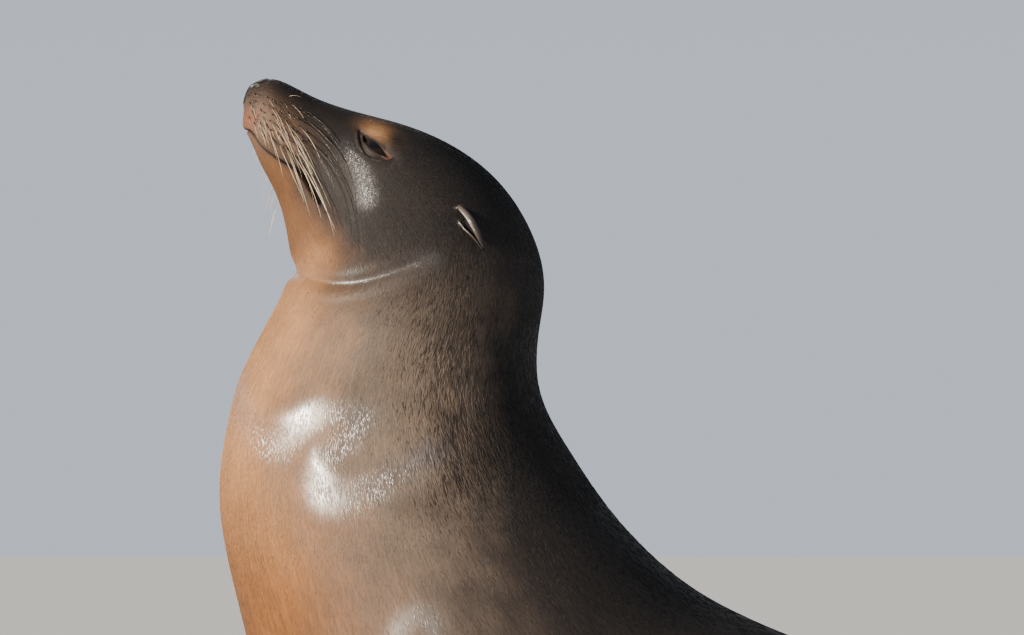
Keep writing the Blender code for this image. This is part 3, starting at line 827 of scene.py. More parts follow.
# ---- Markings and the hide's finish ---------------------------------------------------------------------
# The hide is dark along the back, brown on the head, grey-brown on the sides and caramel below; the dark of
# the back, the shoulder and the head is partly her own colour and partly painted shade. Lips, nose, lids and
# flippers are bare and nearly black. The same colours are laid on the skin and on each tuft.
CARAMEL = np.array([0.198, 0.077, 0.021])
FLANK_BROWN = np.array([0.034, 0.023, 0.017])
TAN_CHEST = np.array([0.37, 0.182, 0.078])
PALE_THROAT = np.array([0.27, 0.13, 0.055])
JAW = np.array([0.152, 0.067, 0.024])
GREY_BROWN = np.array([0.145, 0.105, 0.078])
# The head's own brown, made darker as painted shade.
HEAD_BROWN_AND_SHADE = np.array([0.0165, 0.012, 0.0105])
# Nearly black: her own dark brown, made darker still as painted shade on the back, the shoulder and the
# crown.
DARK_BROWN_AND_SHADE = np.array([0.009, 0.0078, 0.008])
BLACK_SKIN = np.array([0.012, 0.0105, 0.010])
PAD_TAN = np.array([0.168, 0.100, 0.064])
GOLDEN_BROW = np.array([0.24, 0.12, 0.052])
LIP = np.array([0.018, 0.010, 0.009])
LIP_RED = np.array([0.24, 0.085, 0.045])
LIP_CORNER = np.array([0.04, 0.024, 0.017])
LID_GREY = np.array([0.042, 0.033, 0.029])
RIM_PINK = np.array([0.20, 0.085, 0.055])
# The ear's tan, partly its own colour and partly a painted highlight on its rim.
EAR_TAN_AND_HIGHLIGHT = np.array([0.10, 0.076, 0.057])


def blend(base, over, share):
    """A colour laid over another, more or less of it from point to point."""
    return base + (over - base) * np.clip(share, 0, 1)[:, None]


kind, run, side, face = (field[name] for name in ("kind", "run", "side", "face"))
on_body_part = kind == BODY
normals = normals_of(skin)
mirror = side_signs(points)
y = (points[:, 1] - CHEST_FRONT) / MM
z = points[:, 2] / MM
from_back = np.degrees(np.abs(np.where(on_body_part, side, 0)))

mottle = np.zeros(len(points))
for wave in range(24):
    direction = rng.normal(size=3)
    direction *= 2 * math.pi / (rng.uniform(0.02, 0.11) * np.linalg.norm(direction))
    mottle += np.sin(points @ direction + rng.uniform(0, 2 * math.pi))
mottle /= 6
angle = from_back + 5 * mottle * (1 - 0.75 * smooth_step(run, 0.36, 0.6))
head = 1 - smooth_step(run, 0.17, 0.27)
flank = smooth_step(run, 0.62, 0.95)
browner = smooth_step(angle, 0, 100) * (0.45 + 0.40 * smooth_step(run, 0.5, 0.8))
trunk_colour = blend(DARK_BROWN_AND_SHADE, FLANK_BROWN, browner)
# The dark of the back comes lower behind the bend of the neck, as painted shade over the shaded shoulder, and
# the grey fades towards the rump.
edge = 52 + 36 * smooth_step(run, 0.27, 0.48) - 20 * smooth_step(run, 0.55, 0.85)
trunk_colour = blend(trunk_colour, GREY_BROWN, smooth_step(angle - edge, -24, 24) * (1 - 0.35 * flank))
chest_colour = blend(TAN_CHEST, CARAMEL, smooth_step(-z, -570, -380))
tan_edge = 98 - 6 * smooth_step(run, 0.36, 0.58) - 12 * bell(run - 0.42, 0.09)
trunk_colour = blend(trunk_colour, chest_colour, smooth_step(angle - tan_edge, 0, 56))
# The top of the head is dark: partly its own colour, partly painted shade.
head_colour = blend(DARK_BROWN_AND_SHADE, HEAD_BROWN_AND_SHADE, smooth_step(angle, 30, 72))
head_colour = blend(head_colour, JAW, smooth_step(angle, 108, 135))
head_colour = blend(head_colour, PALE_THROAT, smooth_step(angle, 122, 150) * smooth_step(run, 0.11, 0.16))
marking = blend(trunk_colour, head_colour, head)


def spot(centre_y, centre_z, radius, stretch=1.0, tilt=0.0):
    """A soft-edged patch on both sides of the head, seen from the side."""
    c, s = math.cos(math.radians(tilt)), math.sin(math.radians(tilt))
    a = ((y - centre_y) * c + (z - centre_z) * s) / stretch
    b = -(y - centre_y) * s + (z - centre_z) * c
    return np.exp(-((a**2 + b**2) / radius**2)) * on_body_part * (run < 0.3)


# Each patch: its colour, how strong it is, its middle (y, z) and radius in mm, how drawn out, and its tilt.
for colour, strength, patch in (
    (PAD_TAN, 1.2, (42, 778, 19, 1.5, -35)),
    # Darker along the top of the muzzle, partly painted shade.
    (HEAD_BROWN_AND_SHADE * 0.9, 0.8, (78, 790, 12, 1.6, -15)),
    (LIP_RED, 0.8, (26, 783, 7)),
    # Painted shade below the corner of the mouth.
    (LIP * 1.6, 0.85, (88, 708, 9, 1.3, -50)),
    (LIP_CORNER, 0.8, (70, 724, 9, 1.8, -55)),
    (GOLDEN_BROW, 1.1, (128, 774, 7.5, 1.9, -28)),
    (DARK_BROWN_AND_SHADE, 0.9, (144, 766, 6, 1.3, -50)),
    (HEAD_BROWN_AND_SHADE * 1.35, 0.7, (104, 745, 16, 1.6, -70)),
    # Painted shade in the hollow below the ear.
    (DARK_BROWN_AND_SHADE, 0.7, (186, 700, 7, 1.2, -45)),
):
    marking = blend(marking, colour, strength * spot(*patch))
marking *= (1 + 0.10 * mottle)[:, None]

# The whisker pads are spotted with the dark roots of the bristles, in six rows.
FRONT_TOP, FRONT_LOW = np.array([26, 804]), np.array([29, 780])
REAR_TOP, REAR_LOW = np.array([76, 789]), np.array([69, 750])
WHISKER_ROWS, ROW_WHISKERS = 6, 11
follicles = []
for row in range(WHISKER_ROWS):
    for number in range(ROW_WHISKERS):
        back = (number + 0.5 * (row % 2)) / (ROW_WHISKERS - 0.5)
        low = row / (WHISKER_ROWS - 1)
        front = FRONT_TOP + (FRONT_LOW - FRONT_TOP) * low
        rear = REAR_TOP + (REAR_LOW - REAR_TOP) * low
        middle = front + (rear - front) * back + rng.normal(0, 0.8, 2)
        follicles.append((*middle, back, low))
follicles = np.array(follicles)
on_pad = np.flatnonzero(on_body_part & (run < 0.10) & (np.abs(normals[:, 0]) > 0.2))
to_follicles = np.linalg.norm(np.stack([y, z], axis=1)[on_pad, None] - follicles[None, :, :2], axis=2)
rooted = np.zeros(len(points))
rooted[on_pad] = bell(to_follicles.min(axis=1), 1.25)
marking = blend(marking, LIP * 1.5, 0.9 * rooted)

# Bare parts: the nose, the lips and the mouth, the rims of the lids, and the flippers. Painted shade darkens
# the inside of the mouth, the nostrils and the creases about the eye.
lip_gap, lids_gap = field["mouth_gap"], field["lid_gap"]
lip_width = 1.5 + 1.7 * smooth_step(field["mouth_place"], 0.35, 0.7)
lips = np.clip(1.15 - lip_gap / lip_width, 0, 1) + field["mouth"]
eye_u, eye_v = field["eye_u"], field["eye_v"]
lower_roll = (eye_v < -1) & (lids_gap > 0) & (lids_gap < 6.5) & (np.abs(eye_u) < 18)
lower_roll = lower_roll * smooth_step(field["lid_crease"], 0.4, 1.6)
pink_rim = bell(lids_gap - 0.6, 0.7) * smooth_step(eye_u, 6, 15) * (eye_v > -5) * (lids_gap > 0)
for colour, share in (
    (LIP, lips),
    # Painted shade inside the mouth.
    (LIP * 0.5, field["mouth"] * 2 - 0.6),
    (BLACK_SKIN, field["nose"]),
    # Painted shade in the nostrils.
    (BLACK_SKIN * 0.3, field["nostril"] * 1.5),
    (LID_GREY, 0.75 * lower_roll),
    # Painted shade in the crease under the eye and at its front corner.
    (LIP * 1.4, 1.2 * bell(field["lid_crease"], 1.1)),
    (LIP, 1.3 * bell(np.abs(lids_gap) - 0.2, 0.9)),
    (LIP * 0.6, (lids_gap < 0) * 1.0),
    (RIM_PINK, 0.6 * pink_rim),
):
    marking = blend(marking, colour, share)

fore, hind, ear_part = kind == FORE, kind == HIND, kind == EAR
ragged = 0.03 * mottle
bare = np.where(fore, smooth_step(run + ragged + 0.10 * (face < 0), 0.36, 0.46), 0)
bare = np.where(hind, smooth_step(run + ragged, 0.30, 0.42), bare)
limb_colour = blend(GREY_BROWN, DARK_BROWN_AND_SHADE, smooth_step(run, 0.12, 0.36) + 0.85 * hind)
marking = np.where((fore | hind)[:, None], limb_colour, marking)
marking = blend(marking, BLACK_SKIN * (1 + 0.25 * mottle)[:, None], bare)
ear_middle = EAR_ROOT + ear_run * (run * ear_length)[:, None]
ear_hollow = ((points * mirror - ear_middle) * normals * mirror).sum(axis=1) < 0
# The outer flaps are paler towards the root: partly the ear's own tan, partly a painted highlight of the wet
# rim.
ear_paler_and_highlight = np.maximum(smooth_step(side, 0.2, 0.7), smooth_step(-side, 0.75, 0.95))
ear_paler_and_highlight *= 1 - smooth_step(run, 0.72, 0.95)
ear_edge = EAR_TAN_AND_HIGHLIGHT * (1 - 0.5 * smooth_step(run, 0.3, 0.6))[:, None]
ear_colour = blend(HEAD_BROWN_AND_SHADE, ear_edge, ear_paler_and_highlight)
# The hollow of the scoop is darkened with painted shade.
ear_colour = blend(ear_colour, DARK_BROWN_AND_SHADE * 0.6, ear_hollow * 0.85)
marking = np.where(ear_part[:, None], ear_colour, marking)
bare = np.maximum(bare, np.clip(lips, 0, 1) * (lip_gap < 3))
bare = np.maximum(bare, np.maximum(field["nose"], (lids_gap < 1.2) * 1.0))
bare = np.where(ear_part, 0.2, bare)
leather = np.where(fore | hind, bare, np.where(ear_part, 0, 0.8 * field["nose"]))
marking = np.clip(marking, 0.004, 1)

# The lie of the coat runs from the nose to the tail and from the shoulder to the fingers.
LIE_STEP = 1.5 * MM
LIMB_STEP = 0.01
lie = np.tile([0.0, 1.0, 0.0], (len(points), 1))
lie_body = on_body(np.clip(run + LIE_STEP, 0, BODY_LENGTH), side)
lie_body -= on_body(np.clip(run - LIE_STEP, 0, BODY_LENGTH), side)
lie[on_body_part] = lie_body[on_body_part]
for part, at, form in ((fore, fore_at, fore_form), (hind, hind_at, hind_form)):
    t, across, sheet = run[part], side[part], face[part]
    later = form(at, np.clip(t + LIMB_STEP, 0, 1), across, sheet)
    sooner = form(at, np.clip(t - LIMB_STEP, 0, 1), across, sheet)
    lie[part] = (later - sooner) * mirror[part]
lie[ear_part] = ear_run * mirror[ear_part]
lie = square_to(lie, normals)

# Her coat has dried to a dull finish, and is still wet and glossy along the folds of the chest and throat,
# on the cheek and at the shoulder. Each line: its points, how far the wet reaches, and how wet it is.
wet = 0.10 * smooth_step(run, 0.5, 0.8) * on_body_part
side_place = seen_from_side(points)
for line, reach, strength in (
    (curved([(20, 575), (30, 536), (44, 526), (68, 545), (96, 550), (120, 548)]), 11, 1.0),
    (curved([(120, 548), (96, 518), (85, 500), (92, 485), (118, 489), (148, 505), (172, 521)]), 10, 1.0),
    (curved([(58, 664), (72, 657), (96, 651), (142, 660), (172, 672)]), 7, 0.4),
    (curved([(101, 763), (115, 744), (122, 720)]), 7, 0.85),
    (curved([(146, 370), (153, 386), (165, 391), (175, 380)]), 8, 1.0),
):
    to_line = line_distance(side_place, line)[0]
    wet = np.maximum(wet, strength * np.exp(-((to_line / (reach * MM)) ** 2)) * on_body_part)
wet *= 0.15 + 0.85 * smooth_step(lids_gap, 4, 14)
wet *= 0.2 + 0.8 * smooth_step(points[:, 0], -20 * MM, 30 * MM)
wet = np.maximum(wet, 0.25 * field["nose"])
wet = np.where(ear_part, 0.6 * (1 - ear_hollow) * (1 - smooth_step(run, 0.4, 0.8)), wet)

# Colours and lie run into each other where limbs meet the body.
NEIGHBOURS = 60
about_joint = np.flatnonzero((seam_gap < 45 * MM) & ~on_head)
joint_tree = tree_of(points[about_joint])
old_marking, old_lie = marking.copy(), lie.copy()
for vertex in np.flatnonzero((seam_gap < 26 * MM) & ~on_head):
    close = about_joint[[item[1] for item in joint_tree.find_n(points[vertex], NEIGHBOURS)]]
    marking[vertex] = old_marking[close].mean(axis=0)
    lie[vertex] = old_lie[close].mean(axis=0)
lie = square_to(lie, normals)

# Hair streaks follow the lie: the pattern is measured round the body and, much drawn out, along it.
STREAK_DRAWN = 0.085
grain = np.stack([0.1 * np.cos(side), 0.1 * np.sin(side), run * STREAK_DRAWN], axis=1)
limb_grain = np.stack([side * 0.07, 0.3 + face * 0.02, run * fore_length * STREAK_DRAWN], axis=1)
ear_grain = np.stack([side * 0.012, 0 * side, run * ear_length * STREAK_DRAWN], axis=1)
grain = np.where(on_body_part[:, None], grain, np.where(ear_part[:, None], ear_grain, limb_grain))


def paint(piece, name, values):
    """Keeps a colour for each point of a piece, under a name."""
    layer = piece.data.color_attributes.new(name, "FLOAT_COLOR", "POINT")
    layer.data.foreach_set("color", np.concatenate([values, np.ones((len(values), 1))], axis=1).ravel())


def mark_ways(piece, name, ways):
    """Keeps a vector for each point of a piece, under a name."""
    layer = piece.data.attributes.new(name, "FLOAT_VECTOR", "POINT")
    layer.data.foreach_set("vector", ways.ravel())


paint(skin, "marking", marking)
mark(skin, "bare", bare)
mark(skin, "leather", leather)
mark(skin, "wet", wet)
mark_ways(skin, "grain", grain)


class Finish:
    """A material, its shader, and the nodes that colour, roughen and raise it."""

    def __init__(self, name):
        self.material = bpy.data.materials.new(name)
        self.material.use_nodes = True
        self.tree = self.material.node_tree
        self.shader = self.tree.nodes["Principled BSDF"]

    def feed(self, node, values):
        """Sets a node's sockets: what another node makes is linked, and a plain value is put in."""
        for socket, value in values.items():
            if isinstance(value, bpy.types.NodeSocket):
                self.tree.links.new(value, node.inputs[socket])
            else:
                node.inputs[socket].default_value = value

    def node(self, kind, values):
        """A new node of this kind, fed with these values."""
        made = self.tree.nodes.new(kind)
        self.feed(made, values)
        return made

    def place(self):
        """Where on the piece the point is."""
        return self.node("ShaderNodeTexCoord", {}).outputs["Object"]

    def kept(self, name, output="Fac"):
        """What the piece keeps at the point under a name."""
        made = self.node("ShaderNodeAttribute", {})
        made.attribute_name = name
        return made.outputs[output]

    def noise(self, where, scale, detail=2):
        """A cloudy pattern, nearly all of it between 0.3 and 0.7."""
        made = self.node("ShaderNodeTexNoise", {"Vector": where, "Scale": scale, "Detail": detail})
        return made.outputs["Fac"]

    def remap(self, value, low, high, start=0.3, end=0.7):
        """A value that runs from start to end, made to run from low to high."""
        made = self.node("ShaderNodeMapRange", {"Value": value, "From Min": start, "From Max": end})
        self.feed(made, {"To Min": low, "To Max": high})
        return made.outputs["Result"]

    def times(self, first, second):
        made = self.node("ShaderNodeMath", {0: first, 1: second})
        made.operation = "MULTIPLY"
        return made.outputs["Value"]

    def mixed(self, share, first, second):
        """The first value where the share is 0, and the second where it is 1."""
        return self.node("ShaderNodeMix", {0: share, 2: first, 3: second}).outputs[0]

    def shaded(self, colour, factor):
        """A colour made darker or lighter by a number."""
        made = self.node("ShaderNodeVectorMath", {})
        made.operation = "SCALE"
        self.feed(made, {0: colour, "Scale": factor})
        return made.outputs["Vector"]

    def ramp(self, value, *stops):
        """Colours that change along a value. Each stop is a place on it and a colour, the ends come first."""
        made = self.node("ShaderNodeValToRGB", {"Fac": value})
        elements = made.color_ramp.elements
        for number, (place, colour) in enumerate(stops):
            stop = elements[number] if number < 2 else elements.new(place)
            stop.position = place
            stop.color = (*colour, 1)
        return made.outputs["Color"]

    def raised(self, height, depth, strength, under=None):
        """The way the surface faces with this relief in it, over the relief that is there already."""
        made = self.node("ShaderNodeBump", {"Height": height, "Distance": depth, "Strength": strength})
        if under is not None:
            self.feed(made, {"Normal": under})
        return made.outputs["Normal"]


# The film of water on wet hair is a clear layer over the hide and over each lock.
WATER = {"Coat Roughness": 0.33, "Coat IOR": 2.05}
DRY_HAIR, WET_HAIR = (0.60, 0.74), (0.38, 0.50)
hide = Finish("sea_lion_hide")
place = hide.place()
streaks = hide.kept("grain", "Vector")
bareness, leathery, wetness = (hide.kept(name) for name in ("bare", "leather", "wet"))
fine, clumps = hide.noise(streaks, 900), hide.noise(streaks, 260)
pores, folds = hide.noise(place, 1300), hide.noise(place, 60, 4)
crack_net = hide.node("ShaderNodeTexVoronoi", {"Vector": place, "Scale": 420})
crack_net.feature = "DISTANCE_TO_EDGE"
cracks = crack_net.outputs["Distance"]
fur_tone = hide.times(hide.remap(fine, 0.78, 1.22), hide.remap(clumps, 0.88, 1.12))
skin_tone = hide.times(hide.remap(cracks, 0.6, 1.15, 0, 0.35), hide.remap(folds, 0.7, 1.35))
tone = hide.mixed(leathery, fur_tone, skin_tone)
fur_rough = hide.mixed(wetness, hide.remap(fine, *DRY_HAIR), hide.remap(clumps, *WET_HAIR))
skin_rough = hide.mixed(leathery, hide.remap(folds, 0.62, 0.80), hide.remap(folds, 0.93, 1.0))
fur_height = hide.times(fine, hide.remap(clumps, 0.7, 1.3, 0, 1))
smooth_height = hide.mixed(bareness, fur_height, hide.remap(pores, 0.45, 0.55, 0, 1))
skin_height = hide.mixed(leathery, smooth_height, hide.remap(cracks, 0, 1, 0, 0.3))
relief = hide.raised(skin_height, 0.0005, 0.45)
relief = hide.raised(clumps, 0.0010, 0.2, relief)
relief = hide.raised(pores, 0.0002, 0.25, relief)
hide.feed(hide.shader, {
    "Base Color": hide.shaded(hide.kept("marking", "Color"), tone),
    "Roughness": hide.mixed(bareness, fur_rough, skin_rough),
    "Specular IOR Level": 0.3,
    "Normal": relief,
    "Coat Weight": wetness,
    **WATER,
})
skin.data.materials.append(hide.material)

# ---- Eyes -----------------------------------------------------------------------------------------------
# Large wet balls with a dark brown iris, a bulging clear front and grey-brown whites, set deep in the lids.
# Each is a ball turned to look out of its opening, with its front drawn out a little.
EYE_LOOK_UP = 9
SIDES = (("left", 1), ("right", -1))
PUPIL, IRIS, IRIS_EDGE = (0.003, 0.003, 0.004), (0.016, 0.008, 0.005), (0.010, 0.006, 0.004)
IRIS_RING, WHITE, WHITE_EDGE = (0.004, 0.003, 0.003), (0.028, 0.02, 0.017), (0.03, 0.022, 0.018)

wet_eye = Finish("wet_eye")
rings = ((0.16, PUPIL), (0.19, IRIS), (0.33, IRIS_EDGE), (0.37, IRIS_RING), (0.44, WHITE))
veins = wet_eye.noise(wet_eye.place(), 500, 4)
eye_colour = wet_eye.ramp(wet_eye.kept("from_pupil"), (0, PUPIL), (1, WHITE_EDGE), *rings)
wet_eye.feed(wet_eye.shader, {
    "Base Color": wet_eye.shaded(eye_colour, wet_eye.remap(veins, 0.7, 1.3)),
    "Roughness": 0.06,
    "Specular IOR Level": 0.4,
    "Coat Weight": 0.3,
    "Coat Roughness": 0.03,
})


def round_off(piece):
    """Turns a piece's faces out and shades it smooth."""
    turn_faces_out(piece)
    bpy.ops.object.shade_smooth()


for side_name, sign in SIDES:
    bpy.ops.mesh.primitive_uv_sphere_add(segments=64, ring_count=48, radius=EYE_RADIUS)
    eye = bpy.context.object
    eye.name = f"eyeball_{side_name}"
    local = points_of(eye)
    off_gaze = np.degrees(np.arccos(np.clip(local[:, 2] / EYE_RADIUS, -1, 1)))
    local *= (1 + 0.045 * (1 - smooth_step(off_gaze, 0, 34)))[:, None]
    gaze = np.array(Matrix.Rotation(math.radians(-EYE_LOOK_UP), 3, Vector(slant)) @ Vector(eye_out))
    upward = np.cross(gaze, slant)
    centre = eye_spot + EYE_AT * MM @ eye_axes
    set_points(eye, (centre + local @ np.stack([slant, upward, gaze])) * [sign, 1, 1])
    round_off(eye)
    mark(eye, "from_pupil", off_gaze / 90)
    eye.data.materials.append(wet_eye.material)
    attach(eye, "root")
    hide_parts(f"eye_{side_name}")

# ---- Nails ----------------------------------------------------------------------------------------------
# Narrow dark claws lie on the upper face of the hind flippers over the middle three toes, well short of the
# flaps' ends. Each is of horn, arched along its length, blunt at the tip and rooted in the skin.
NAIL_PLACE = 0.66
NAIL_LENGTH, NAIL_WIDTH, NAIL_THICK = 17 * MM, 6.0 * MM, 5.0 * MM
HORN_DARK, HORN_BROWN = (0.012, 0.010, 0.009), (0.075, 0.052, 0.036)

nail_horn = Finish("nail_horn")
place = nail_horn.place()
layers = nail_horn.noise(place, 420, 4)
horn_colour = nail_horn.ramp(nail_horn.noise(place, 110, 3), (0.35, HORN_DARK), (0.72, HORN_BROWN))
nail_horn.feed(nail_horn.shader, {
    "Base Color": nail_horn.shaded(horn_colour, nail_horn.remap(layers, 0.7, 1.3)),
    "Roughness": nail_horn.remap(layers, 0.22, 0.42),
    "Normal": nail_horn.raised(layers, 0.0003, 0.3),
})
for side_name, sign in SIDES:
    for toe in (1, 2, 3):
        across_toe = np.full(2, (toe + 0.5) / DIGITS * 2 - 1)
        seat, ahead = hind_form(hind_at, np.array([NAIL_PLACE, NAIL_PLACE + 0.06]), across_toe, np.ones(2))
        forward = (ahead - seat) / np.linalg.norm(ahead - seat)
        sideways = np.cross(forward, [0, 0, 1])
        sideways /= np.linalg.norm(sideways)
        upward = np.cross(sideways, forward)
        bpy.ops.mesh.primitive_uv_sphere_add(segments=28, ring_count=20, radius=1)
        nail = bpy.context.object
        nail.name = f"claw_{side_name}_{toe}"
        local = points_of(nail)
        along_nail = local[:, 2]
        taper = 1 - 0.55 * smooth_step(along_nail, -0.3, 1.0)
        ridge = 1 + 0.18 * bell(local[:, 0], 0.35) * (local[:, 1] > 0)
        arch = 0.5 * MM - 1.6 * MM * smooth_step(along_nail, 0, 1)
        shape = seat + forward * (along_nail * NAIL_LENGTH / 2)[:, None]
        shape += sideways * (local[:, 0] * taper * NAIL_WIDTH / 2)[:, None]
        shape += upward * (local[:, 1] * taper * ridge * NAIL_THICK / 2 + arch)[:, None]
        set_points(nail, shape * [sign, 1, 1])
        round_off(nail)
        nail.data.materials.append(nail_horn.material)
        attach(nail, "root")
        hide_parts(f"nail_{side_name}_{toe}")

# ---- Coat -----------------------------------------------------------------------------------------------
# Short stiff hair lies flat along the body, in small pointed locks. Each lock is a thin closed sliver with
# its root in the skin, coloured like the skin under it, darker at its root as painted shade and lighter along
# its ridge and towards its tip, partly as painted highlight. They are shortest on the face.
LOCK_FACES = ((0, 3, 1), (0, 2, 3), (1, 3, 4), (3, 2, 4), (0, 1, 2), (1, 4, 2))
LOCK_CORNERS = 5
# Each corner's colour is scaled: darker at the root as painted shade, lighter on the ridge and at the tip,
# partly as painted highlight.
LOCK_PAINTED_SHADING = np.array([0.80, 1.0, 1.0, 1.05, 1.12])
LOCK_PATCH = np.array([(0, -1), (1, 0), (-1, 0), (0, 0), (0, 1)])
PATCH_REACH = 0.0015
COATS = {
    # name: where along her it starts and ends, in metres, and how many locks it has
    "coat_face": (0.0, 0.13, 26000),
    "coat_head": (0.13, 0.24, 28000),
    "coat_neck": (0.24, 0.42, 30000),
    "coat_chest": (0.42, 0.72, 30000),
    "coat_ribs": (0.72, 1.05, 26000),
    "coat_belly": (1.05, 1.42, 22000),
    "coat_rump": (1.42, 1.80, 16000),
}
skin.data.calc_loop_triangles()
triangles = np.empty(len(skin.data.loop_triangles) * 3, int)
skin.data.loop_triangles.foreach_get("vertices", triangles)
triangles = triangles.reshape(-1, 3)
corners = points[triangles]
areas = np.linalg.norm(np.cross(corners[:, 1] - corners[:, 0], corners[:, 2] - corners[:, 0]), axis=1) / 2

# No hair grows on the nose, the lips, inside the lids, or on the bare flippers, nor under her on the floor.
hairy = 1 - smooth_step(bare, 0.15, 0.6)
hairy *= smooth_step(field["mouth_gap"], 3.2, 5.0) * (1 - field["mouth"])
hairy *= smooth_step(field["lid_gap"], 2.5, 5.0) * smooth_step(field["lid_crease"], 1.4, 3.2)
hairy *= 1 - smooth_step(field["nose"], 0.0, 0.3)
hairy *= smooth_step(points[:, 2], 1.5 * MM, 5 * MM)
hairy *= np.where(ear_part, 0.8 * (1 - ear_hollow) * (1 - smooth_step(run, 0.5, 0.8)), 1)
# The hair is ruffled where the neck is bent, on her sides behind the jaw. Some locks there are painted dark,
# as shade in the partings between them.
ruffle = np.exp(-(((y - 190) / 38) ** 2) - ((z - 600) / 78) ** 2)
ruffle += np.exp(-(((y - 195) / 34) ** 2) - ((z - 512) / 36) ** 2)
ruffle = np.clip(ruffle, 0, 1) * on_body_part

# The unwrap of the coat: the body is rolled out to the left of the sheet, and the limbs lie to its right.
body_u, body_v = 0.02 + 0.80 * (side / (2 * math.pi) + 0.5), 0.01 + 0.97 * run / BODY_LENGTH
limb_u = 0.845 + 0.03 * (side + 1) / 2 + 0.035 * (face > 0) + 0.075 * (mirror[:, 0] < 0)
unwrap_u = np.where(on_body_part, body_u, limb_u)
unwrap_v = np.where(on_body_part, body_v, 0.02 + 0.30 * run + 0.35 * hind)
limb_run = np.where(fore, 0.50 + 0.2 * run, np.where(hind, 1.5, run))
body_run = np.where(on_body_part, run, limb_run)
triangle_run = body_run[triangles].mean(axis=1)
# A triangle that runs across the belly's middle or onto a limb takes its first corner's place on the unwrap.
whole = (np.ptp(unwrap_u[triangles], axis=1) < 0.1) & (np.ptp(unwrap_v[triangles], axis=1) < 0.1)
skin_tree = BVHTree.FromPolygons(points.tolist(), triangles.tolist())


def laid(places, height):
    """These places brought down onto the skin, and then raised off it."""
    found = [skin_tree.find_nearest(place)[0:2] for place in places.tolist()]
    spots = np.array([spot for spot, _ in found])
    ways = np.array([way for _, way in found])
    return spots + ways * height


def locks(count, chance, length, width, lift, scatter):
    """Chooses roots on the skin and gives each lock its points, its colour and its patch of the unwrap."""
    chosen = rng.choice(len(triangles), count, p=chance / chance.sum())
    a, b = rng.random((2, count))
    flip = a + b > 1
    a[flip], b[flip] = 1 - a[flip], 1 - b[flip]
    weights = np.stack([1 - a - b, a, b], axis=1)[:, :, None]
    at = triangles[chosen]
    root = (points[at] * weights).sum(axis=1)
    out = unit((normals[at] * weights).sum(axis=1))
    along = square_to((lie[at] * weights).sum(axis=1), out)
    across = np.cross(out, along)
    sway = np.radians(rng.normal(0, 1, count) * scatter[chosen])
    along, across = (
        along * np.cos(sway)[:, None] + across * np.sin(sway)[:, None],
        across * np.cos(sway)[:, None] - along * np.sin(sway)[:, None],
    )
    size = rng.uniform(0.65, 1.35, count)
    long = (length[chosen] * size)[:, None] * MM
    half = (width[chosen] * rng.uniform(0.7, 1.3, count) / 2)[:, None] * MM
    high = (lift[chosen] * rng.uniform(0.5, 1.5, count))[:, None] * MM
    shape = np.stack(
        [
            root - out * 0.12 * MM,
            root + along * long * 0.40 + across * half + out * high * 0.25,
            root + along * long * 0.40 - across * half + out * high * 0.25,
            root + along * long * 0.34 + out * high,
            laid(root + along * long, high * 0.8),
        ],
        axis=1,
    )
    bow = laid(root + along * long * 0.38, 0) - root - along * long * 0.38
    shape[:, 1:4] += bow[:, None, :]
    wetness = (wet[at] * weights[:, :, 0]).sum(axis=1)
    tilt = (0.22 + 0.38 * wetness)[:, None]
    facing = unit(np.stack([out, out + across * tilt, out - across * tilt, out, out + along * 0.15], axis=1))
    colour = (marking[at] * weights).sum(axis=1)
    ruffled = (ruffle[at] * weights[:, :, 0]).sum(axis=1)
    tone = np.clip(rng.normal(1.0, 0.08 + 0.10 * ruffled), 0.5, 1.6)
    # Some locks in the ruffle are dark: painted shade of the partings between them.
    tone = np.where(rng.random(count) < 0.28 * ruffled, 0.30, tone)[:, None]
    warm = 1 + rng.normal(0, 0.03, count)[:, None] * [1, 0, -1]
    colour = (colour * tone * warm)[:, None, :] * LOCK_PAINTED_SHADING[None, :, None]
    middle = [
        np.where(whole[chosen], (place[at] * weights[:, :, 0]).sum(axis=1), place[at[:, 0]])
        for place in (unwrap_u, unwrap_v)
    ]
    patch = np.stack(middle, axis=1)[:, None, :] + (LOCK_PATCH * PATCH_REACH)[None]
    flat = (part.reshape(-1, part.shape[-1]) for part in (shape, facing, colour, patch))
    return *flat, wetness.repeat(LOCK_CORNERS), across.repeat(LOCK_CORNERS, axis=0)


def lock_mesh(name, shape, facing, colour, patch, wetness, across):
    """One mesh of many locks."""
    count = len(shape) // LOCK_CORNERS
    faces = (np.array(LOCK_FACES)[None] + LOCK_CORNERS * np.arange(count)[:, None, None]).reshape(-1, 3)
    mesh = bpy.data.meshes.new(name)
    mesh.vertices.add(len(shape))
    mesh.vertices.foreach_set("co", shape.ravel())
    mesh.loops.add(faces.size)
    mesh.loops.foreach_set("vertex_index", faces.ravel())
    mesh.polygons.add(len(faces))
    mesh.polygons.foreach_set("loop_start", np.arange(len(faces)) * 3)
    mesh.update(calc_edges=True)
    piece = brought_in(name, mesh)
    mesh.polygons.foreach_set("use_smooth", np.ones(len(faces), bool))
    paint(piece, "marking", np.clip(colour, 0.003, 1))
    mark(piece, "wet", wetness)
    mark_ways(piece, "across_hair", across)
    bake = mesh.uv_layers.new(name="OFBake")
    bake.data.foreach_set("uv", np.clip(patch[faces.ravel()], 0.001, 0.999).ravel())
    mesh.normals_split_custom_set_from_vertices(facing.tolist())
    mesh.materials.append(coat.material)
    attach(piece, "root")


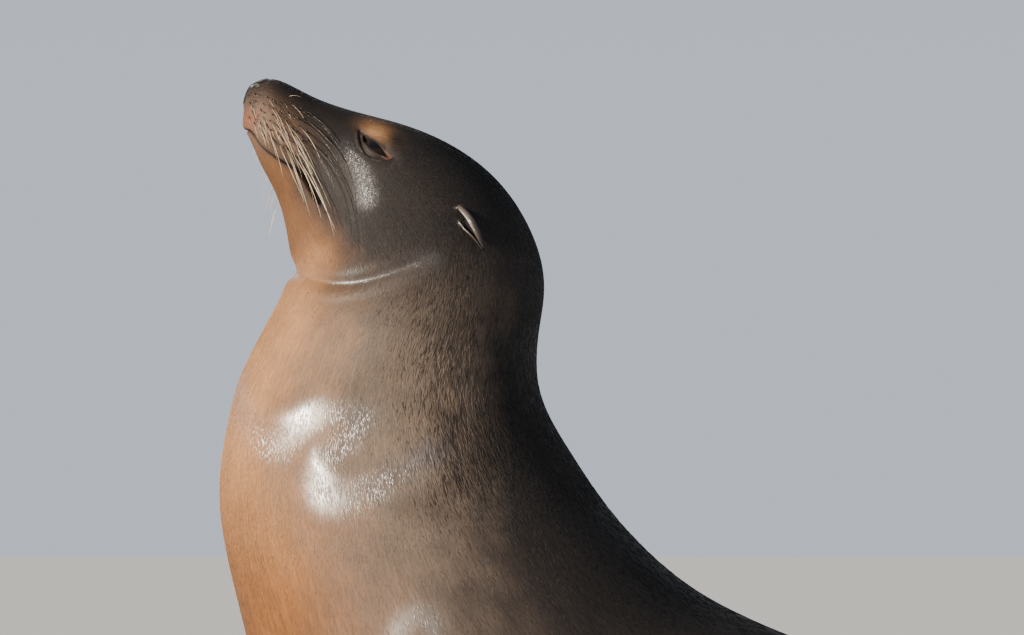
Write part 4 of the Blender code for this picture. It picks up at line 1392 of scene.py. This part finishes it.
coat = Finish("sea_lion_coat")
place = coat.place()
wetness = coat.kept("wet")
gloss, speck = coat.noise(place, 35, 3), coat.noise(place, 1500)
coat.feed(coat.shader, {
    "Base Color": coat.shaded(coat.kept("marking", "Color"), coat.remap(speck, 0.85, 1.15)),
    "Roughness": coat.mixed(wetness, coat.remap(gloss, *DRY_HAIR), coat.remap(gloss, *WET_HAIR)),
    "Specular IOR Level": 0.3,
    "Coat Weight": wetness,
    **WATER,
    "Anisotropic": 0.7,
    "Tangent": coat.kept("across_hair", "Vector"),
})

# Locks are short and fine on the face and long on the trunk, and shorter still in folds, at the joins of the
# limbs, by the lids and on the ears.
face_share = 1 - smooth_step(body_run, 0.06, 0.20)
neck_share = smooth_step(body_run, 0.20, 0.40)
near_fold = smooth_step(field["fold_gap"], 1.5, 12)
by_lids = smooth_step(field["lid_gap"], 3, 10)
by_join = np.where(on_head, 1, smooth_step(seam_gap, 6 * MM, 34 * MM))
lock_length = 3.0 * face_share + 5.0 * (1 - face_share) + 2.0 * neck_share + 7 * ruffle
lock_length = np.where(body_run > 0.6, lock_length + 2, lock_length) * (0.30 + 0.70 * near_fold)
lock_length *= (0.45 + 0.55 * by_lids) * np.where(ear_part, 0.6, 1)
lock_length *= 0.4 + 0.6 * by_join
lock_width = 0.55 * face_share + 0.8 * (1 - face_share) + 0.3 * neck_share - 0.1 * ruffle
lock_width = np.where(body_run > 0.6, lock_width + 0.5, lock_width)
lock_lift = 0.13 + 0.05 * (1 - face_share) + 0.04 * neck_share + 0.42 * ruffle
lock_lift *= 0.35 + 0.65 * near_fold
lock_lift *= (0.5 + 0.5 * by_lids) * (0.4 + 0.6 * by_join) * np.where(ear_part, 0.5, 1)
lock_sway = 8 + 4 * ruffle - 2 * face_share
per_face = [value[triangles].mean(axis=1) for value in (hairy, lock_length, lock_width, lock_lift, lock_sway)]
face_hairy, face_length, face_width, face_lift, face_sway = per_face
for name, (start, end, count) in COATS.items():
    inside = (triangle_run >= start) & (triangle_run < end)
    chance = areas * face_hairy * inside
    lock_mesh(name, *locks(count, chance, face_length, face_width, face_lift, face_sway))

# ---- Whiskers -------------------------------------------------------------------------------------------
# Stiff tapering bristles, most of them cream and some dark, grow in rows from the pads on each side of the
# muzzle and sweep back and down past the jaw. Each is a curved tube that thins to its tip.
WHISKER_SIDES = 6
WHISKER_JOINTS = 14
WHISKER_POINTS = WHISKER_SIDES * WHISKER_JOINTS


def on_skin(y, z, sign):
    """The point of the skin at this place, in mm, seen from her side, and the way the skin faces there."""
    start = Vector((0.3 * sign, CHEST_FRONT + y * MM, z * MM))
    spot, out, _, _ = skin_tree.ray_cast(start, Vector((-sign, 0, 0)))
    if out.x * sign < 0:
        out = -out
    return np.array(spot), np.array(out)


def bristle(root, heading, sag, length, thick):
    """The points of one whisker: it leaves along its heading and bends towards the sag."""
    place = root - heading * 1.5 * MM
    path = [place]
    step = length / (WHISKER_JOINTS - 1)
    for joint in range(1, WHISKER_JOINTS):
        share = joint / (WHISKER_JOINTS - 1)
        way = heading * (1 - share) + sag * share
        place = place + way / np.linalg.norm(way) * step
        path.append(place)
    path = np.array(path)
    along = unit(np.gradient(path, axis=0))
    across = unit(np.cross(along, [0.3, 0.9, 0.2]))
    over = np.cross(along, across)
    radius = thick / 2 * (1 - np.linspace(0, 1, WHISKER_JOINTS) ** 1.6 * 0.85)
    turns = np.arange(WHISKER_SIDES) * 2 * math.pi / WHISKER_SIDES
    ring = across[:, None, :] * np.cos(turns)[:, None] + over[:, None, :] * np.sin(turns)[:, None]
    return (path[:, None, :] + ring * radius[:, None, None]).reshape(-1, 3)


tube = []
for joint in range(WHISKER_JOINTS - 1):
    for turn_number in range(WHISKER_SIDES):
        a = joint * WHISKER_SIDES + turn_number
        b = joint * WHISKER_SIDES + (turn_number + 1) % WHISKER_SIDES
        tube.append((a, b, b + WHISKER_SIDES, a + WHISKER_SIDES))
tube.append(tuple(range(WHISKER_SIDES))[::-1])
tube.append(tuple(range(WHISKER_POINTS - WHISKER_SIDES, WHISKER_POINTS)))

whisker = Finish("whisker")
bands = whisker.noise(whisker.place(), 90, 3)
whisker.feed(whisker.shader, {
    "Base Color": whisker.shaded(whisker.kept("marking", "Color"), whisker.remap(bands, 0.75, 1.2)),
    "Roughness": 0.28,
})

CREAM = np.array([0.72, 0.58, 0.40])
DARK_HORN = np.array([0.035, 0.022, 0.015])
BROW_BRISTLES = ((121, 781, 22), (126, 779, 17), (58, 802, 12))
for side_name, sign in SIDES:
    shapes, colours = [], []
    for y_place, z_place, back, low in follicles:
        root, out = on_skin(y_place + rng.normal(0, 0.4), z_place + rng.normal(0, 0.4), sign)
        long_one = rng.random() < 0.72
        length = (10 + 26 * back + 58 * (back * (0.30 + 0.70 * low)) ** 1.2) * rng.uniform(0.7, 1.2) * MM
        if not long_one:
            length = rng.uniform(5, 11) * MM
        sweep = 0.42 + 0.15 * back if sign > 0 else -0.44 + 0.10 * back
        # The rearmost of the upper rows are long and dark and bow back to the throat.
        bowed = sign > 0 and back > 0.72 and low < 0.7 and rng.random() < 0.8
        if bowed:
            length, sweep = rng.uniform(92, 130) * MM, 0.84 - 0.25 * low
        heading = np.array([0.35 * sign, sweep, -0.72]) + rng.normal(0, 0.09, 3) + out * 0.35
        heading /= np.linalg.norm(heading)
        sag = np.array([(-0.04 if bowed else 0.02) * sign, sweep * (0.25 if bowed else 0.6), -1.0])
        sag += rng.normal(0, 0.07, 3)
        thick = (0.38 + (0.18 if bowed else 0.45 * back * low)) * rng.uniform(0.75, 1.2)
        thick *= (1.0 if sign > 0 else 1.5) * MM
        shapes.append(bristle(root, heading, sag / np.linalg.norm(sag), length, thick))
        dark = bowed or rng.random() < (0.42 if low < 0.5 else 0.22) * (1 if sign > 0 else 0.4)
        tint = (DARK_HORN if dark else CREAM) * rng.uniform(0.8, 1.2)
        fade = np.interp(np.arange(WHISKER_JOINTS), [0, 2, 5, WHISKER_JOINTS], [0.08, 0.35, 0.9, 1.15])
        colours.append(tint * fade.repeat(WHISKER_SIDES)[:, None])
        # Its root shows dark in the short hair of the pad.
        stub_length, stub_thick = rng.uniform(3.5, 6) * MM, rng.uniform(0.5, 0.75) * MM
        shapes.append(bristle(root + out * 0.4 * MM, heading, sag, stub_length, stub_thick))
        colours.append(np.tile(DARK_HORN * 0.35, (WHISKER_POINTS, 1)))
    # Two fine bristles stand over each eye, and one on the bridge of the nose.
    for y_place, z_place, length in BROW_BRISTLES:
        root, out = on_skin(y_place, z_place, sign)
        heading = np.array([0.3 * sign, 0.8, 0.2]) + out * 0.6
        heading /= np.linalg.norm(heading)
        shapes.append(bristle(root, heading, np.array([0.1 * sign, 0.9, -0.5]), length * MM, 0.28 * MM))
        tint = CREAM * 0.8 if y_place < 100 else DARK_HORN * 2
        colours.append(np.tile(tint, (WHISKER_POINTS, 1)))
    starts = range(0, len(shapes) * WHISKER_POINTS, WHISKER_POINTS)
    faces = [tuple(corner + start for corner in face) for start in starts for face in tube]
    mesh = bpy.data.meshes.new(f"whiskers_{side_name}")
    mesh.from_pydata(np.concatenate(shapes).tolist(), [], faces)
    whiskers = brought_in(mesh.name, mesh)
    round_off(whiskers)
    paint(whiskers, "marking", np.concatenate(colours))
    mesh.materials.append(whisker.material)
    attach(whiskers, "root")
